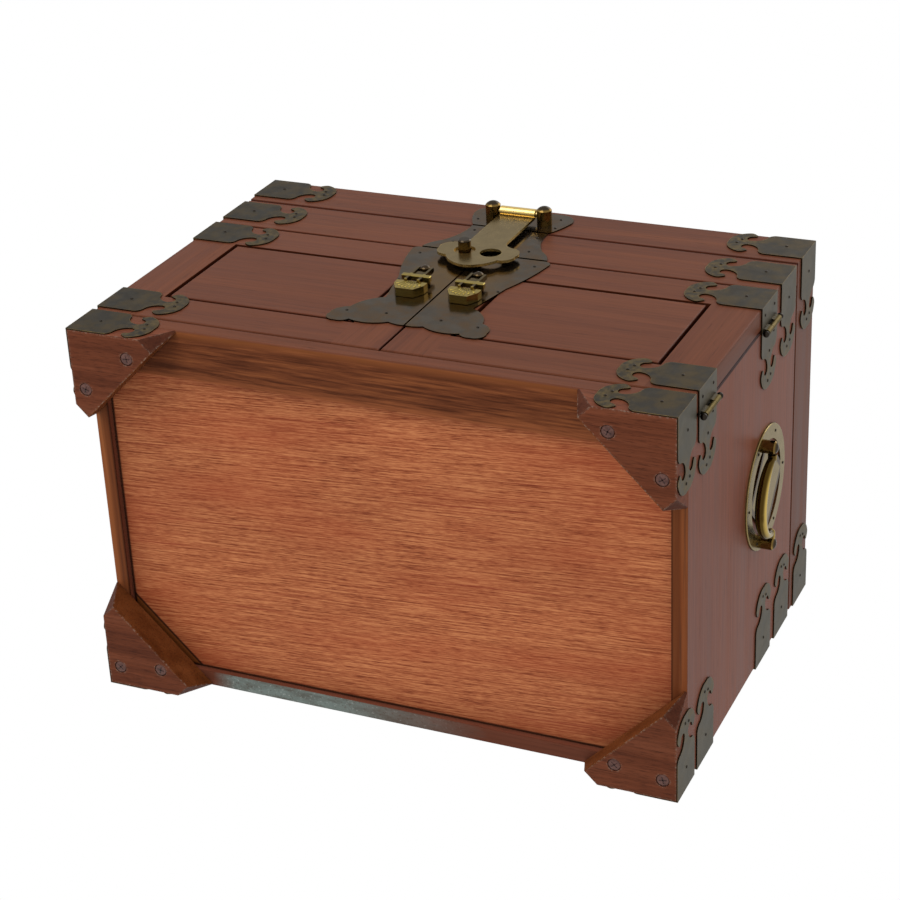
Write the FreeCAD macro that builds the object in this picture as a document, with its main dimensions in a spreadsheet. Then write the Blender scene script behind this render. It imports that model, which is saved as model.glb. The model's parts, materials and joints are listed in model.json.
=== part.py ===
import FreeCAD, Part
import math
import os
import re

# Brass-bound jewellery chest: hinged lid with a hasp, two front doors, two drawers behind them.
# Frame: +Z up, front at -Y, origin under the middle of the whole object, sizes in millimetres.

V = FreeCAD.Vector
DOC = FreeCAD.newDocument("jewellery_chest")

# Driving dimensions
SIZES = (
    ("case_width", 300.0),
    ("case_depth", 194.0),
    ("foot_height", 15.0),
    ("base_rail_height", 9.5),
    ("base_rail_depth", 24.5),
    ("door_height", 120.2),
    ("door_gap", 1.0),
    ("door_clear", 0.9),
    ("door_meet", 0.5),
    ("top_rail_height", 34.2),
    ("lid_gap", 1.0),
    ("lid_height", 30.1),
    ("front_thick", 11.0),
    ("side_thick", 7.5),
    ("back_thick", 7.5),
    ("bottom_thick", 4.0),
    ("bottom_recess", 3.5),
    ("tray_floor_thick", 4.0),
    ("tray_floor_lift", 1.0),
    ("shelf_thick", 5.0),
    ("lid_wall", 7.5),
    ("lid_top_thick", 6.0),
    ("mirror_thick", 2.0),
    ("mirror_margin", 14.0),
    ("edge_round", 0.8),
    ("door_frame_width", 24.0),
    ("panel_groove", 2.0),
    ("panel_tongue", 5.0),
    ("panel_tongue_thick", 3.0),
    ("foot_leg", 51.0),
    ("foot_tip_slope", 12.5),
    ("foot_tip_land", 1.5),
    ("screw_head_radius", 3.3),
    ("screw_head_depth", 2.2),
    ("screw_shank_radius", 1.7),
    ("screw_length", 13.0),
    ("screw_sink", 0.3),
    ("front_screw_long", 31.0),
    ("front_screw_edge", 11.0),
    ("front_screw_short", 6.5),
    ("front_screw_run", 30.0),
    ("back_screw_long", 30.0),
    ("back_screw_edge", 13.0),
    ("back_screw_short", 6.5),
    ("back_screw_run", 10.0),
    ("mount_height", 24.2),
    ("mount_thick", 0.7),
    ("mount_band", 19.0),
    ("mount_margin", 0.2),
    ("rail_mount_drop", 3.7),
    ("door_mount_lift", 2.9),
    ("hinge_barrel_radius", 1.4),
    ("hinge_pin_radius", 0.75),
    ("hinge_ball_radius", 1.6),
    ("hinge_play", 0.05),
    ("hinge_clear", 0.3),
    ("knuckle_gap", 0.2),
    ("hinge_band", 10.5),
    ("hinge_lift", 2.4),
    ("hinge_setback", 1.5),
    ("hinge_split", 0.15),
    ("door_hinge_length", 19.0),
    ("lid_hinge_length", 36.0),
    ("lid_hinge_leaf", 13.0),
    ("lid_hinge_spread", 75.0),
    ("handle_height", 132.0),
    ("handle_plate_radius", 31.5),
    ("handle_plate_thick", 1.1),
    ("handle_window_radius", 24.0),
    ("handle_window_chord", 19.0),
    ("handle_rim_round", 0.4),
    ("handle_pivot_drop", 8.0),
    ("handle_post_spread", 26.0),
    ("handle_post_radius", 3.3),
    ("handle_post_length", 7.9),
    ("handle_pivot_out", 5.0),
    ("bail_drop", 17.6),
    ("bail_middle_radius", 2.9),
    ("bail_end_radius", 1.9),
    ("bail_pin_radius", 1.2),
    ("bail_pin_length", 4.0),
    ("bail_eye_radius", 2.2),
    ("bail_end_gap", 0.4),
    ("pivot_play", 0.08),
    ("lock_plate_thick", 0.7),
    ("lock_plate_margin", 0.3),
    ("lid_plate_width", 53.0),
    ("lid_plate_height", 26.0),
    ("rail_plate_width", 67.0),
    ("door_plate_width", 80.0),
    ("door_plate_height", 96.5),
    ("rod_height", 11.1),
    ("rod_out", 5.6),
    ("rod_radius", 1.4),
    ("rod_seat", 1.6),
    ("hasp_post_spread", 14.1),
    ("hasp_post_radius", 3.9),
    ("hasp_post_length", 9.6),
    ("hasp_roll_radius", 2.5),
    ("hasp_thick", 1.4),
    ("hasp_width", 19.0),
    ("hasp_head_width", 41.2),
    ("hasp_length", 72.0),
    ("hasp_neck", 38.5),
    ("hasp_hole_radius", 5.4),
    ("hasp_hole_spread", 6.9),
    ("hasp_hole_drop", 53.5),
    ("knob_radius", 3.2),
    ("knob_length", 5.6),
    ("knob_flange", 0.5),
    ("knob_edge", 0.6),
    ("pull_spread", 14.0),
    ("pull_height", 108.0),
    ("pull_stud_radius", 2.3),
    ("pull_stud_length", 6.8),
    ("pull_pivot_out", 4.4),
    ("pull_pin_radius", 0.8),
    ("pull_ear_thick", 1.3),
    ("pull_bar_width", 14.5),
    ("pull_bar_drop", 10.3),
    ("pull_bar_radius", 1.3),
    ("pull_body_drop", 15.3),
    ("pull_body_width", 15.8),
    ("pull_body_thick", 4.2),
    ("pull_seat_gap", 0.3),
    ("pull_body_height", 9.6),
    ("drawer_front_thick", 8.0),
    ("drawer_wall", 6.0),
    ("drawer_floor_thick", 3.0),
    ("drawer_side_gap", 0.4),
    ("drawer_seat_gap", 0.3),
    ("drawer_top_gap", 0.8),
    ("drawer_back_gap", 1.0),
    ("drawer_knob_radius", 5.0),
    ("drawer_knob_length", 9.5),
    ("drawer_knob_dome", 2.9),
)

# Levels and planes that follow from the driving dimensions
DERIVED = (
    ("half_width", "case_width / 2"),
    ("hasp_face", "rod_out - hasp_roll_radius + hasp_thick"),
    ("front_reach", "lock_plate_thick + hasp_post_length"),
    ("back_reach", "hinge_lift + hinge_ball_radius"),
    ("front_y", "(front_reach - back_reach - case_depth) / 2"),
    ("back_y", "front_y + case_depth"),
    ("middle_y", "front_y + case_depth / 2"),
    ("case_front", "front_y + front_thick"),
    ("rail_back", "front_y + base_rail_depth"),
    ("inner_back", "back_y - back_thick"),
    ("inner_half", "half_width - side_thick"),
    ("base_top", "foot_height + base_rail_height"),
    ("door_low", "base_top + door_gap"),
    ("door_top", "door_low + door_height"),
    ("rail_low", "door_top + door_gap"),
    ("rail_top", "rail_low + top_rail_height"),
    ("lid_low", "rail_top + lid_gap"),
    ("lid_top", "lid_low + lid_height"),
    ("lid_roof", "lid_top - lid_top_thick"),
    ("bottom_low", "foot_height + bottom_recess"),
    ("tray_low", "rail_low + tray_floor_lift"),
    ("shelf_low", "(base_top + rail_low - shelf_thick) / 2"),
    ("shelf_top", "shelf_low + shelf_thick"),
    ("door_hinge_x", "half_width + hinge_lift"),
    ("door_hinge_y", "case_front - door_clear / 2 + hinge_setback"),
    ("lid_hinge_y", "back_y + hinge_lift"),
    ("lid_hinge_z", "rail_top + lid_gap / 2"),
    ("lid_mount_z", "lid_top - mount_margin - mount_height / 2"),
    ("rail_mount_z", "rail_top - rail_mount_drop - mount_height / 2"),
    ("door_upper_mount_z", "door_top - mount_margin - mount_height / 2"),
    ("door_lower_mount_z", "door_low + door_mount_lift + mount_height / 2"),
    ("base_mount_z", "mount_margin + mount_height / 2"),
    ("handle_pivot_z", "handle_height - handle_pivot_drop"),
    ("handle_pivot_x", "half_width + handle_plate_thick + handle_pivot_out"),
    ("rod_y", "front_y - rod_out"),
    ("rod_z", "lid_low + rod_height"),
    ("pull_pivot_y", "front_y - lock_plate_thick - pull_pivot_out"),
    ("drawer_half", "inner_half - drawer_side_gap"),
)

SIDES = (("left", -1), ("right", 1))
ENDS = (("front", -1), ("back", 1))

sheet = DOC.addObject("Spreadsheet::Sheet", "Sizes")
NAMES = [name for name, value in SIZES + DERIVED]
for row, (name, value) in enumerate(SIZES + DERIVED, start=1):
    sheet.set("A%d" % row, name)
    sheet.set("B%d" % row, "=" + value if isinstance(value, str) else str(value))
    sheet.setAlias("B%d" % row, name)
DOC.recompute()

parts = {}


def size(name):
    """The sheet's value of one size."""
    return float(sheet.get(name))


def cells(text):
    """An expression with each size name pointing at the sheet."""
    return re.sub(r"[a-z_]+", lambda found: "Sizes." + found[0] if found[0] in NAMES else found[0], text)


def bind(obj, **texts):
    """Tie properties of an object to sheet expressions."""
    for name, text in texts.items():
        obj.setExpression(name, cells(text))


def place(obj, x="0", y="0", z="0", turn=FreeCAD.Rotation()):
    """Turn an object, and tie its position to sheet expressions."""
    obj.Placement = FreeCAD.Placement(V(0, 0, 0), turn)
    for axis, text in zip("xyz", (x, y, z)):
        obj.setExpression(".Placement.Base." + axis, cells(text))


def keep(label, obj):
    """Enter a finished sub-part under its node name."""
    DOC.recompute()
    obj.Label = label
    parts[label] = obj
    return obj


# Boards and boolean shapes

def block(name, low, span):
    """A plain block from its low corner and its three spans."""
    box = DOC.addObject("Part::Box", name)
    bind(box, Length=span[0], Width=span[1], Height=span[2])
    place(box, *low)
    return box


def fuse(name, first, second):
    """Two shapes made one."""
    joined = DOC.addObject("Part::Fuse", name)
    joined.Base = first
    joined.Tool = second
    return joined


def cut(name, base, tool):
    """A shape with another one taken out of it, which has to remove something."""
    taken = DOC.addObject("Part::Cut", name)
    taken.Base = base
    taken.Tool = tool
    DOC.recompute()
    if taken.Shape.Volume >= base.Shape.Volume:
        raise RuntimeError(name + " cuts nothing")
    return taken


def group(name, members):
    """Like pieces that share one node as separate solids."""
    gathered = DOC.addObject("Part::Compound", name)
    gathered.Links = members
    return gathered


def eased(name, base, axis, direction):
    """A board with the arrises of one outer face rounded."""
    DOC.recompute()
    box = base.Shape.BoundBox
    limit = getattr(box, axis.upper() + ("Max" if direction > 0 else "Min"))
    radius = size("edge_round")
    chosen = []
    for number, edge in enumerate(base.Shape.Edges, start=1):
        if all(abs(getattr(vertex.Point, axis) - limit) < radius / 10 for vertex in edge.Vertexes):
            chosen.append((number, radius, radius))
    rounded = DOC.addObject("Part::Fillet", name)
    rounded.Base = base
    rounded.Edges = chosen
    return rounded


def across(side, near, far):
    """Low end and span along X of a piece that reaches from near to far on one side."""
    low = near if side > 0 else "-(%s)" % far
    return low, "%s - (%s)" % (far, near)


# Sketched bodies

def new_body(name):
    return DOC.addObject("PartDesign::Body", name)


def datum(body, role):
    """A plane or axis of the body's own origin."""
    return next(item for item in body.Origin.OriginFeatures if item.Role == role)


def new_sketch(body, role, lift=0.0):
    """An empty sketch on an origin plane of the body, lifted along that plane's normal."""
    sketch = body.newObject("Sketcher::SketchObject", body.Name + "_sketch")
    sketch.AttachmentSupport = [(datum(body, role), "")]
    sketch.MapMode = "FlatFace"
    sketch.AttachmentOffset = FreeCAD.Placement(V(0, 0, lift), FreeCAD.Rotation())
    return sketch


def trace(sketch, start, moves, flip=(1, 1)):
    """Draw a closed outline: two numbers are a line's end, four an arc's middle and end."""
    here = V(start[0] * flip[0], start[1] * flip[1], 0)
    first = here
    for move in moves:
        points = [V(move[i] * flip[0], move[i + 1] * flip[1], 0) for i in range(0, len(move), 2)]
        if len(points) == 2:
            sketch.addGeometry(Part.Arc(here, *points), False)
        else:
            sketch.addGeometry(Part.LineSegment(here, points[0]), False)
        here = points[-1]
    if here.distanceToPoint(first) > Part.Precision.confusion():
        sketch.addGeometry(Part.LineSegment(here, first), False)


def ring(sketch, centre, radius):
    sketch.addGeometry(Part.Circle(V(centre[0], centre[1], 0), V(0, 0, 1), radius), False)


def pad(body, sketch, length, backwards=False):
    """Extrude a sketch by a sheet expression."""
    feature = body.newObject("PartDesign::Pad", body.Name + "_pad")
    feature.Profile = sketch
    bind(feature, Length=length)
    feature.Reversed = backwards
    body.Tip = feature
    return feature


def drill(body, role, centre, radius):
    """A round hole right through a body, along the normal of an origin plane."""
    DOC.recompute()
    before = body.Shape.Volume
    sketch = new_sketch(body, role)
    ring(sketch, centre, radius)
    feature = body.newObject("PartDesign::Pocket", body.Name + "_hole")
    feature.Profile = sketch
    feature.Type = "ThroughAll"
    feature.Midplane = True
    body.Tip = feature
    DOC.recompute()
    if body.Shape.Volume >= before:
        raise RuntimeError(body.Name + " hole cuts nothing")
    return feature


def turned(name, start, moves):
    """A piece turned about its own Z axis from a half profile of radius and height."""
    body = new_body(name)
    sketch = new_sketch(body, "XZ_Plane")
    trace(sketch, start, moves)
    feature = body.newObject("PartDesign::Revolution", name + "_turn")
    feature.Profile = sketch
    feature.ReferenceAxis = (datum(body, "Z_Axis"), [""])
    body.Tip = feature
    return body


def cap(radius, top, dome):
    """The arc of a spherical dome, from its rim to its top on the axis."""
    ball = (radius ** 2 + dome ** 2) / (2 * dome)
    lean = math.asin(radius / ball) / 2
    return (ball * math.sin(lean), top - ball + ball * math.cos(lean), 0, top)


def mirrored(start, moves, flip=(-1, 1)):
    """The moves of a half outline followed by its mirror image back to the start."""
    ends = [start] + [move[-2:] for move in moves]
    back = []
    for number in reversed(range(len(moves))):
        points = moves[number][:-2] + tuple(ends[number])
        back.append(tuple(points[i] * flip[i % 2] for i in range(len(points))))
    return list(moves) + back


def scaled(moves, across_scale, along_scale):
    """Moves stretched in both directions."""
    factors = (across_scale, along_scale)
    return [tuple(move[i] * factors[i % 2] for i in range(len(move))) for move in moves]


FRONTWARDS = FreeCAD.Rotation(V(1, 0, 0), 90)
SIDEWARDS = {side: FreeCAD.Rotation(V(0, 1, 0), 90 * side) for name, side in SIDES}


# Case boards

def make_case():
    for name, side in SIDES:
        low, span = across(side, "inner_half", "half_width")
        panel = block(name + "_side_blank", (low, "case_front", "foot_height"),
                      (span, "back_y - case_front", "rail_top - foot_height"))
        keep("side_panel_" + name, eased(name + "_side", panel, "x", side))

    back = block("back_blank", ("-inner_half", "inner_back", "foot_height"),
                 ("2 * inner_half", "back_thick", "rail_top - foot_height"))
    keep("back_panel", back)

    rail = block("top_rail_blank", ("-half_width", "front_y", "rail_low"),
                 ("case_width", "front_thick", "top_rail_height"))
    keep("front_top_rail", eased("top_rail", rail, "y", -1))

    lip = block("base_rail_lip", ("-half_width", "front_y", "foot_height"),
                ("case_width", "front_thick", "base_rail_height"))
    sill = block("base_rail_sill", ("-inner_half", "case_front", "foot_height"),
                 ("2 * inner_half", "base_rail_depth - front_thick", "base_rail_height"))
    keep("base_rail", fuse("base_rail_board", eased("base_lip", lip, "y", -1), sill))

    keep("bottom_panel", block("bottom_board", ("-inner_half", "rail_back", "bottom_low"),
                               ("2 * inner_half", "inner_back - rail_back", "bottom_thick")))
    keep("tray_floor", block("tray_board", ("-inner_half", "case_front", "tray_low"),
                             ("2 * inner_half", "inner_back - case_front", "tray_floor_thick")))
    keep("drawer_shelf", block("shelf_board", ("-inner_half", "rail_back", "shelf_low"),
                               ("2 * inner_half", "inner_back - rail_back", "shelf_thick")))


# Corner feet: triangular blocks whose sharp tips slope in towards the floor

def foot_outline(leg, land, flip):
    """Plan of a foot from its outer corner, with both tips cut square to the long side."""
    start = (0, 0)
    moves = [(leg - land, 0), (leg - land / 2, land / 2), (land / 2, leg - land / 2), (0, leg - land)]
    return start, moves, flip


def make_feet():
    screws = []
    for end_name, end in ENDS:
        for side_name, side in SIDES:
            name = "foot_%s_%s" % (end_name, side_name)
            body = new_body(name + "_block")
            flip = (-side, -end)
            low = new_sketch(body, "XY_Plane")
            trace(low, *foot_outline(size("foot_leg"), size("foot_tip_slope"), flip))
            high = new_sketch(body, "XY_Plane", size("foot_height"))
            trace(high, *foot_outline(size("foot_leg"), size("foot_tip_land"), flip))
            loft = body.newObject("PartDesign::AdditiveLoft", name + "_loft")
            loft.Profile = low
            loft.Sections = [high]
            loft.Ruled = True
            body.Tip = loft
            corner_y = "front_y" if end < 0 else "back_y"
            place(body, "%d * half_width" % side, corner_y)
            holes = []
            for along, aside in (("long", "edge"), ("short", "run")):
                spot_x = "%d * (half_width - %s_screw_%s)" % (side, end_name, along)
                spot_y = "%s + %d * %s_screw_%s" % (corner_y, -end, end_name, aside)
                screw = foot_screw("%s_%s_screw" % (name, along))
                place(screw, spot_x, spot_y, "screw_sink")
                well = DOC.addObject("Part::Cylinder", "%s_%s_well" % (name, along))
                bind(well, Radius="screw_head_radius", Height="screw_sink")
                place(well, spot_x, spot_y)
                screws.append(screw)
                holes += [screw, well]
            shape = body
            for number, hole in enumerate(holes):
                shape = cut("%s_hole_%d" % (name, number), shape, hole)
            keep(name, shape)
    keep("foot_screws", group("foot_screw_set", screws))


def foot_screw(name):
    """A countersunk wood screw, head down."""
    head = size("screw_head_radius")
    shank = size("screw_shank_radius")
    depth = size("screw_head_depth")
    length = size("screw_length")
    return turned(name, (0, 0), [(head, 0), (shank, depth), (shank, length - shank), (0, length)])


# Corner mounts: brass angles with a plain band, a waist and a hooked cloud head

# Upper edge of a leaf from the end of its band to its tip, in half heights
LEAF_EDGE = [
    (0, 1.0), (0.182, 0.926, 0.298, 0.744), (0.463, 0.38, 0.86, 0.19), (1.099, 0.446, 0.909, 0.661),
    (0.818, 0.711), (0.769, 0.793, 0.835, 0.876), (0.942, 0.967, 1.091, 1.0), (1.562, 0.694, 1.752, 0),
]


def leaf_edge(start, band):
    """Outline of one leaf along its length and height, from the corner to the tip of its head."""
    half = size("mount_height") / 2
    upper = [tuple(value * half + (band if i % 2 == 0 else 0) for i, value in enumerate(move))
             for move in LEAF_EDGE]
    return (start, half), mirrored((start, half), upper, (1, -1))


def front_leaf(body, side, end):
    """The leaf on the front or back face, which also covers the corner."""
    sketch = new_sketch(body, "XZ_Plane")
    start, moves = leaf_edge(-size("mount_thick"), size("mount_band"))
    trace(sketch, start, moves, (-side, 1))
    pad(body, sketch, "mount_thick", end > 0)


def corner_mount(name, side, end, level):
    """A whole angle on one corner of the chest, centred at a level."""
    body = new_body(name)
    front_leaf(body, side, end)
    sketch = new_sketch(body, "YZ_Plane")
    start, moves = leaf_edge(0, size("mount_band"))
    trace(sketch, start, moves, (-end, 1))
    pad(body, sketch, "mount_thick", side < 0)
    place(body, "%d * half_width" % side, "front_y" if end < 0 else "back_y", level)
    return body


def make_mounts():
    lid_set = []
    for end_name, end in ENDS:
        for side_name, side in SIDES:
            where = "%s_%s" % (end_name, side_name)
            lid_set.append(corner_mount("lid_mount_" + where, side, end, "lid_mount_z"))
            levels = ["rail_mount_z", "base_mount_z"]
            if end > 0:
                levels += ["door_upper_mount_z", "door_lower_mount_z"]
            members = [corner_mount("%s_%s" % (level, where), side, end, level) for level in levels]
            keep("case_mounts_" + where, group("case_mount_set_" + where, members))
    keep("lid_mounts", group("lid_mount_set", lid_set))


# Hinges: rolled knuckles on a pin with ball ends

def knuckle(body, role, side, tab, span, pivot=0.0):
    """One knuckle with the web that joins it to its leaf, over a span of the pin."""
    radius = size("hinge_barrel_radius")
    lift = size("hinge_lift")
    thick = size("mount_thick")
    split = size("hinge_split")
    foot = pivot + tab * (radius + size("hinge_clear"))
    near = pivot + tab * split
    under = lift - math.sqrt(radius ** 2 - split ** 2)
    slant = radius * math.sqrt(0.5)
    outline = [
        (0, foot), (thick, foot), (lift, pivot + tab * radius),
        (lift + radius, pivot, lift, pivot - tab * radius),
        (lift - slant, pivot - tab * slant, under, near),
    ]
    sketch = new_sketch(body, role, span[0])
    trace(sketch, (0, near), outline, (side, 1))
    ring(sketch, (side * lift, pivot), size("hinge_pin_radius") + size("hinge_play"))
    pad(body, sketch, str(span[1] - span[0]))


def knuckle_spans(length):
    """Low and high ends of three knuckles along a pin, centred on its middle."""
    third = length / 3
    gap = size("knuckle_gap") / 2
    lows = (-length / 2, -third / 2 + gap, third / 2 + gap)
    highs = (-third / 2 - gap, third / 2 - gap, length / 2)
    return list(zip(lows, highs))


def hinge_pin(name, length):
    """A pin with a ball at each end, along Z."""
    ball = size("hinge_ball_radius")
    radius = size("hinge_pin_radius")
    seat = length / 2 + size("knuckle_gap")
    neck = math.sqrt(ball ** 2 - radius ** 2)
    middle = seat + ball
    upper = [(radius, middle - neck), (ball, middle, 0, middle + ball)]
    start = (0, -middle - ball)
    return turned(name, start, [(ball, -middle, radius, neck - middle)] + upper)


def make_door_hinges():
    spans = knuckle_spans(size("door_hinge_length"))
    split = size("hinge_split")
    half = size("mount_height") / 2
    run = size("door_hinge_y") - size("front_y")
    leaves = []
    pins = []
    for name, side in SIDES:
        door_set = []
        for level in ("door_upper_mount_z", "door_lower_mount_z"):
            where = "%s_%s" % (level, name)
            leaf = new_body("hinge_leaf_" + where)
            sketch = new_sketch(leaf, "YZ_Plane")
            start, moves = leaf_edge(split, size("hinge_band"))
            trace(sketch, start, moves)
            pad(leaf, sketch, "mount_thick", side < 0)
            knuckle(leaf, "XY_Plane", side, 1, spans[1])
            place(leaf, "%d * half_width" % side, "door_hinge_y", level)
            leaves.append(leaf)

            pin = hinge_pin("hinge_pin_" + where, size("door_hinge_length"))
            place(pin, "%d * door_hinge_x" % side, "door_hinge_y", level)
            pins.append(pin)

            mount = new_body("door_mount_" + where)
            front_leaf(mount, side, -1)
            wrap = new_sketch(mount, "YZ_Plane")
            trace(wrap, (0, -half), [(run - split, -half), (run - split, half), (0, half)])
            pad(mount, wrap, "mount_thick", side < 0)
            for span in (spans[0], spans[2]):
                knuckle(mount, "XY_Plane", side, -1, span, run)
            place(mount, "%d * half_width" % side, "front_y", level)
            door_set.append(mount)
        keep("door_mounts_" + name, group("door_mount_set_" + name, door_set))
    keep("door_hinge_leaves", group("door_hinge_leaf_set", leaves))
    keep("door_hinge_pins", group("door_hinge_pin_set", pins))


def make_lid_hinges():
    length = size("lid_hinge_length")
    spans = knuckle_spans(length)
    split = size("hinge_split")
    leaf = size("lid_hinge_leaf")
    sets = {-1: [], 1: []}
    pins = []
    for name, side in SIDES:
        for tab, chosen in ((-1, [spans[1]]), (1, [spans[0], spans[2]])):
            body = new_body("lid_hinge_%s_%s" % ("case" if tab < 0 else "lid", name))
            sketch = new_sketch(body, "XZ_Plane")
            outline = [(length / 2, split), (length / 2, leaf), (-length / 2, leaf)]
            trace(sketch, (-length / 2, split), outline, (1, tab))
            pad(body, sketch, "mount_thick", True)
            for span in chosen:
                knuckle(body, "YZ_Plane", 1, tab, span)
            place(body, "%d * lid_hinge_spread" % side, "back_y", "lid_hinge_z")
            sets[tab].append(body)
        pin = hinge_pin("lid_hinge_pin_" + name, length)
        place(pin, "%d * lid_hinge_spread" % side, "lid_hinge_y", "lid_hinge_z", SIDEWARDS[1])
        pins.append(pin)
    keep("lid_hinge_case_leaves", group("lid_hinge_case_set", sets[-1]))
    keep("lid_hinge_lid_leaves", group("lid_hinge_lid_set", sets[1]))
    keep("lid_hinge_pins", group("lid_hinge_pin_set", pins))


# Lid

def make_lid():
    outer = block("lid_outer", ("-half_width", "front_y", "lid_low"),
                  ("case_width", "case_depth", "lid_height"))
    roof = eased("lid_upper_edges", outer, "z", 1)
    shell = eased("lid_lower_edges", roof, "z", -1)
    hollow = block("lid_hollow", ("-half_width + lid_wall", "front_y + lid_wall", "lid_low"),
                   ("case_width - 2 * lid_wall", "case_depth - 2 * lid_wall", "lid_height"))
    keep("lid_frame", cut("lid_band", shell, hollow))
    board = block("lid_board", ("-half_width + lid_wall", "front_y + lid_wall", "lid_roof"),
                  ("case_width - 2 * lid_wall", "case_depth - 2 * lid_wall", "lid_top_thick"))
    keep("lid_top_panel", board)
    inset = "(lid_wall + mirror_margin)"
    keep("lid_mirror", block("mirror_glass", ("-half_width + " + inset, "front_y + " + inset,
                                              "lid_roof - mirror_thick"),
                             ("case_width - 2 * " + inset, "case_depth - 2 * " + inset, "mirror_thick")))


# Doors: a flush panel in a frame, parted from it by a groove

def make_door(name, side):
    edge = "door_frame_width"
    back = "case_front - door_clear"
    low, span = across(side, "door_meet", "half_width")
    slab = block(name + "_door_slab", (low, "front_y", "door_low"),
                 (span, "front_thick - door_clear", "door_height"))
    face = eased(name + "_door_face", slab, "y", -1)
    low, span = across(side, "door_meet + " + edge, "half_width - " + edge)
    window = block(name + "_door_window", (low, "front_y", "door_low + " + edge),
                   (span, "front_thick", "door_height - 2 * " + edge))
    low, span = across(side, "door_meet + %s - panel_tongue" % edge,
                       "half_width - %s + panel_tongue" % edge)
    tongue_low = (low, back + " - panel_tongue_thick", "door_low + %s - panel_tongue" % edge)
    tongue_tall = "door_height - 2 * %s + 2 * panel_tongue" % edge
    rebate = block(name + "_door_rebate", tongue_low, (span, "front_thick", tongue_tall))
    tongue = block(name + "_panel_tongue", tongue_low, (span, "panel_tongue_thick", tongue_tall))
    frame = cut(name + "_door_rebated", cut(name + "_door_opened", face, window), rebate)
    keep("door_frame_" + name, frame)

    inset = edge + " + panel_groove"
    low, span = across(side, "door_meet + " + inset, "half_width - " + inset.replace("+", "-"))
    field = block(name + "_panel_field", (low, "front_y", "door_low + " + inset),
                  (span, "front_thick - door_clear - panel_tongue_thick", "door_height - 2 * (%s)" % inset))
    keep("door_panel_" + name, fuse(name + "_panel", eased(name + "_panel_face", field, "y", -1), tongue))


# Lock set: flat shaped plates, and a hasp that hangs from a rod between two posts

# Outlines of the plates, in half widths and heights
LID_PLATE_HALF = [(0.79, 0), (0.9, 0.22, 1.0, 0.54), (0.97, 0.82, 0.72, 0.98), (0.36, 1.0, 0, 1.0)]
RAIL_PLATE_HALF = [(0.62, 0), (0.665, -0.4, 0.81, -0.7), (0.945, -0.86, 1.0, -1.0), (0, -1.0)]
DOOR_PLATE_EDGE = [
    (0.82, 0), (0.9, -0.012, 0.915, -0.047), (0.83, -0.23, 0.7, -0.39), (0.63, -0.53, 0.557, -0.67),
    (0.74, -0.73, 0.845, -0.83), (0.975, -0.87, 1.0, -0.93), (0.975, -0.985, 0.86, -1.0),
    (0.76, -0.995, 0.7, -0.97), (0.47, -0.985, 0.21, -0.945), (0.11, -0.959, 0, -0.96), (0, 0),
]


def flat_plate(name, moves, x, z):
    """A lock plate standing on the front, drawn across X and along Z from its own datum."""
    body = new_body(name)
    sketch = new_sketch(body, "XZ_Plane")
    trace(sketch, (0, 0), moves)
    pad(body, sketch, "lock_plate_thick")
    place(body, x, "front_y", z)
    return body


def make_lock_plates():
    half = size("lid_plate_width") / 2
    moves = mirrored((0, 0), scaled(LID_PLATE_HALF, half, size("lid_plate_height")))
    keep("lock_plate_lid", flat_plate("lid_plate", moves, "0", "lid_low + lock_plate_margin"))

    half = size("rail_plate_width") / 2
    drop = size("top_rail_height") - 2 * size("lock_plate_margin")
    moves = mirrored((0, 0), scaled(RAIL_PLATE_HALF, half, drop))
    keep("lock_plate_rail", flat_plate("rail_plate", moves, "0", "rail_top - lock_plate_margin"))

    inner = size("door_meet")
    reach = size("door_plate_width") / 2 - inner
    for name, side in SIDES:
        edge = scaled(DOOR_PLATE_EDGE, reach * side, size("door_plate_height"))
        body = flat_plate("door_plate_" + name, edge, "%d * door_meet" % side,
                          "door_top - lock_plate_margin")
        keep("lock_plate_door_" + name, body)


def domed_post(name, radius, length):
    """A round post with a domed end, standing along its own Z axis."""
    dome = radius / 2
    return turned(name, (0, 0), [(radius, 0), (radius, length - dome), cap(radius, length, dome)])


# Right half of the hasp below its roll, in half head widths and lengths
HASP_HEAD_HALF = [
    (0.54, -0.59, 0.777, -0.627), (1.0, -0.69, 0.99, -0.757), (0.9, -0.833, 0.66, -0.857),
    (0.41, -0.95, 0, -1.0),
]


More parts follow.
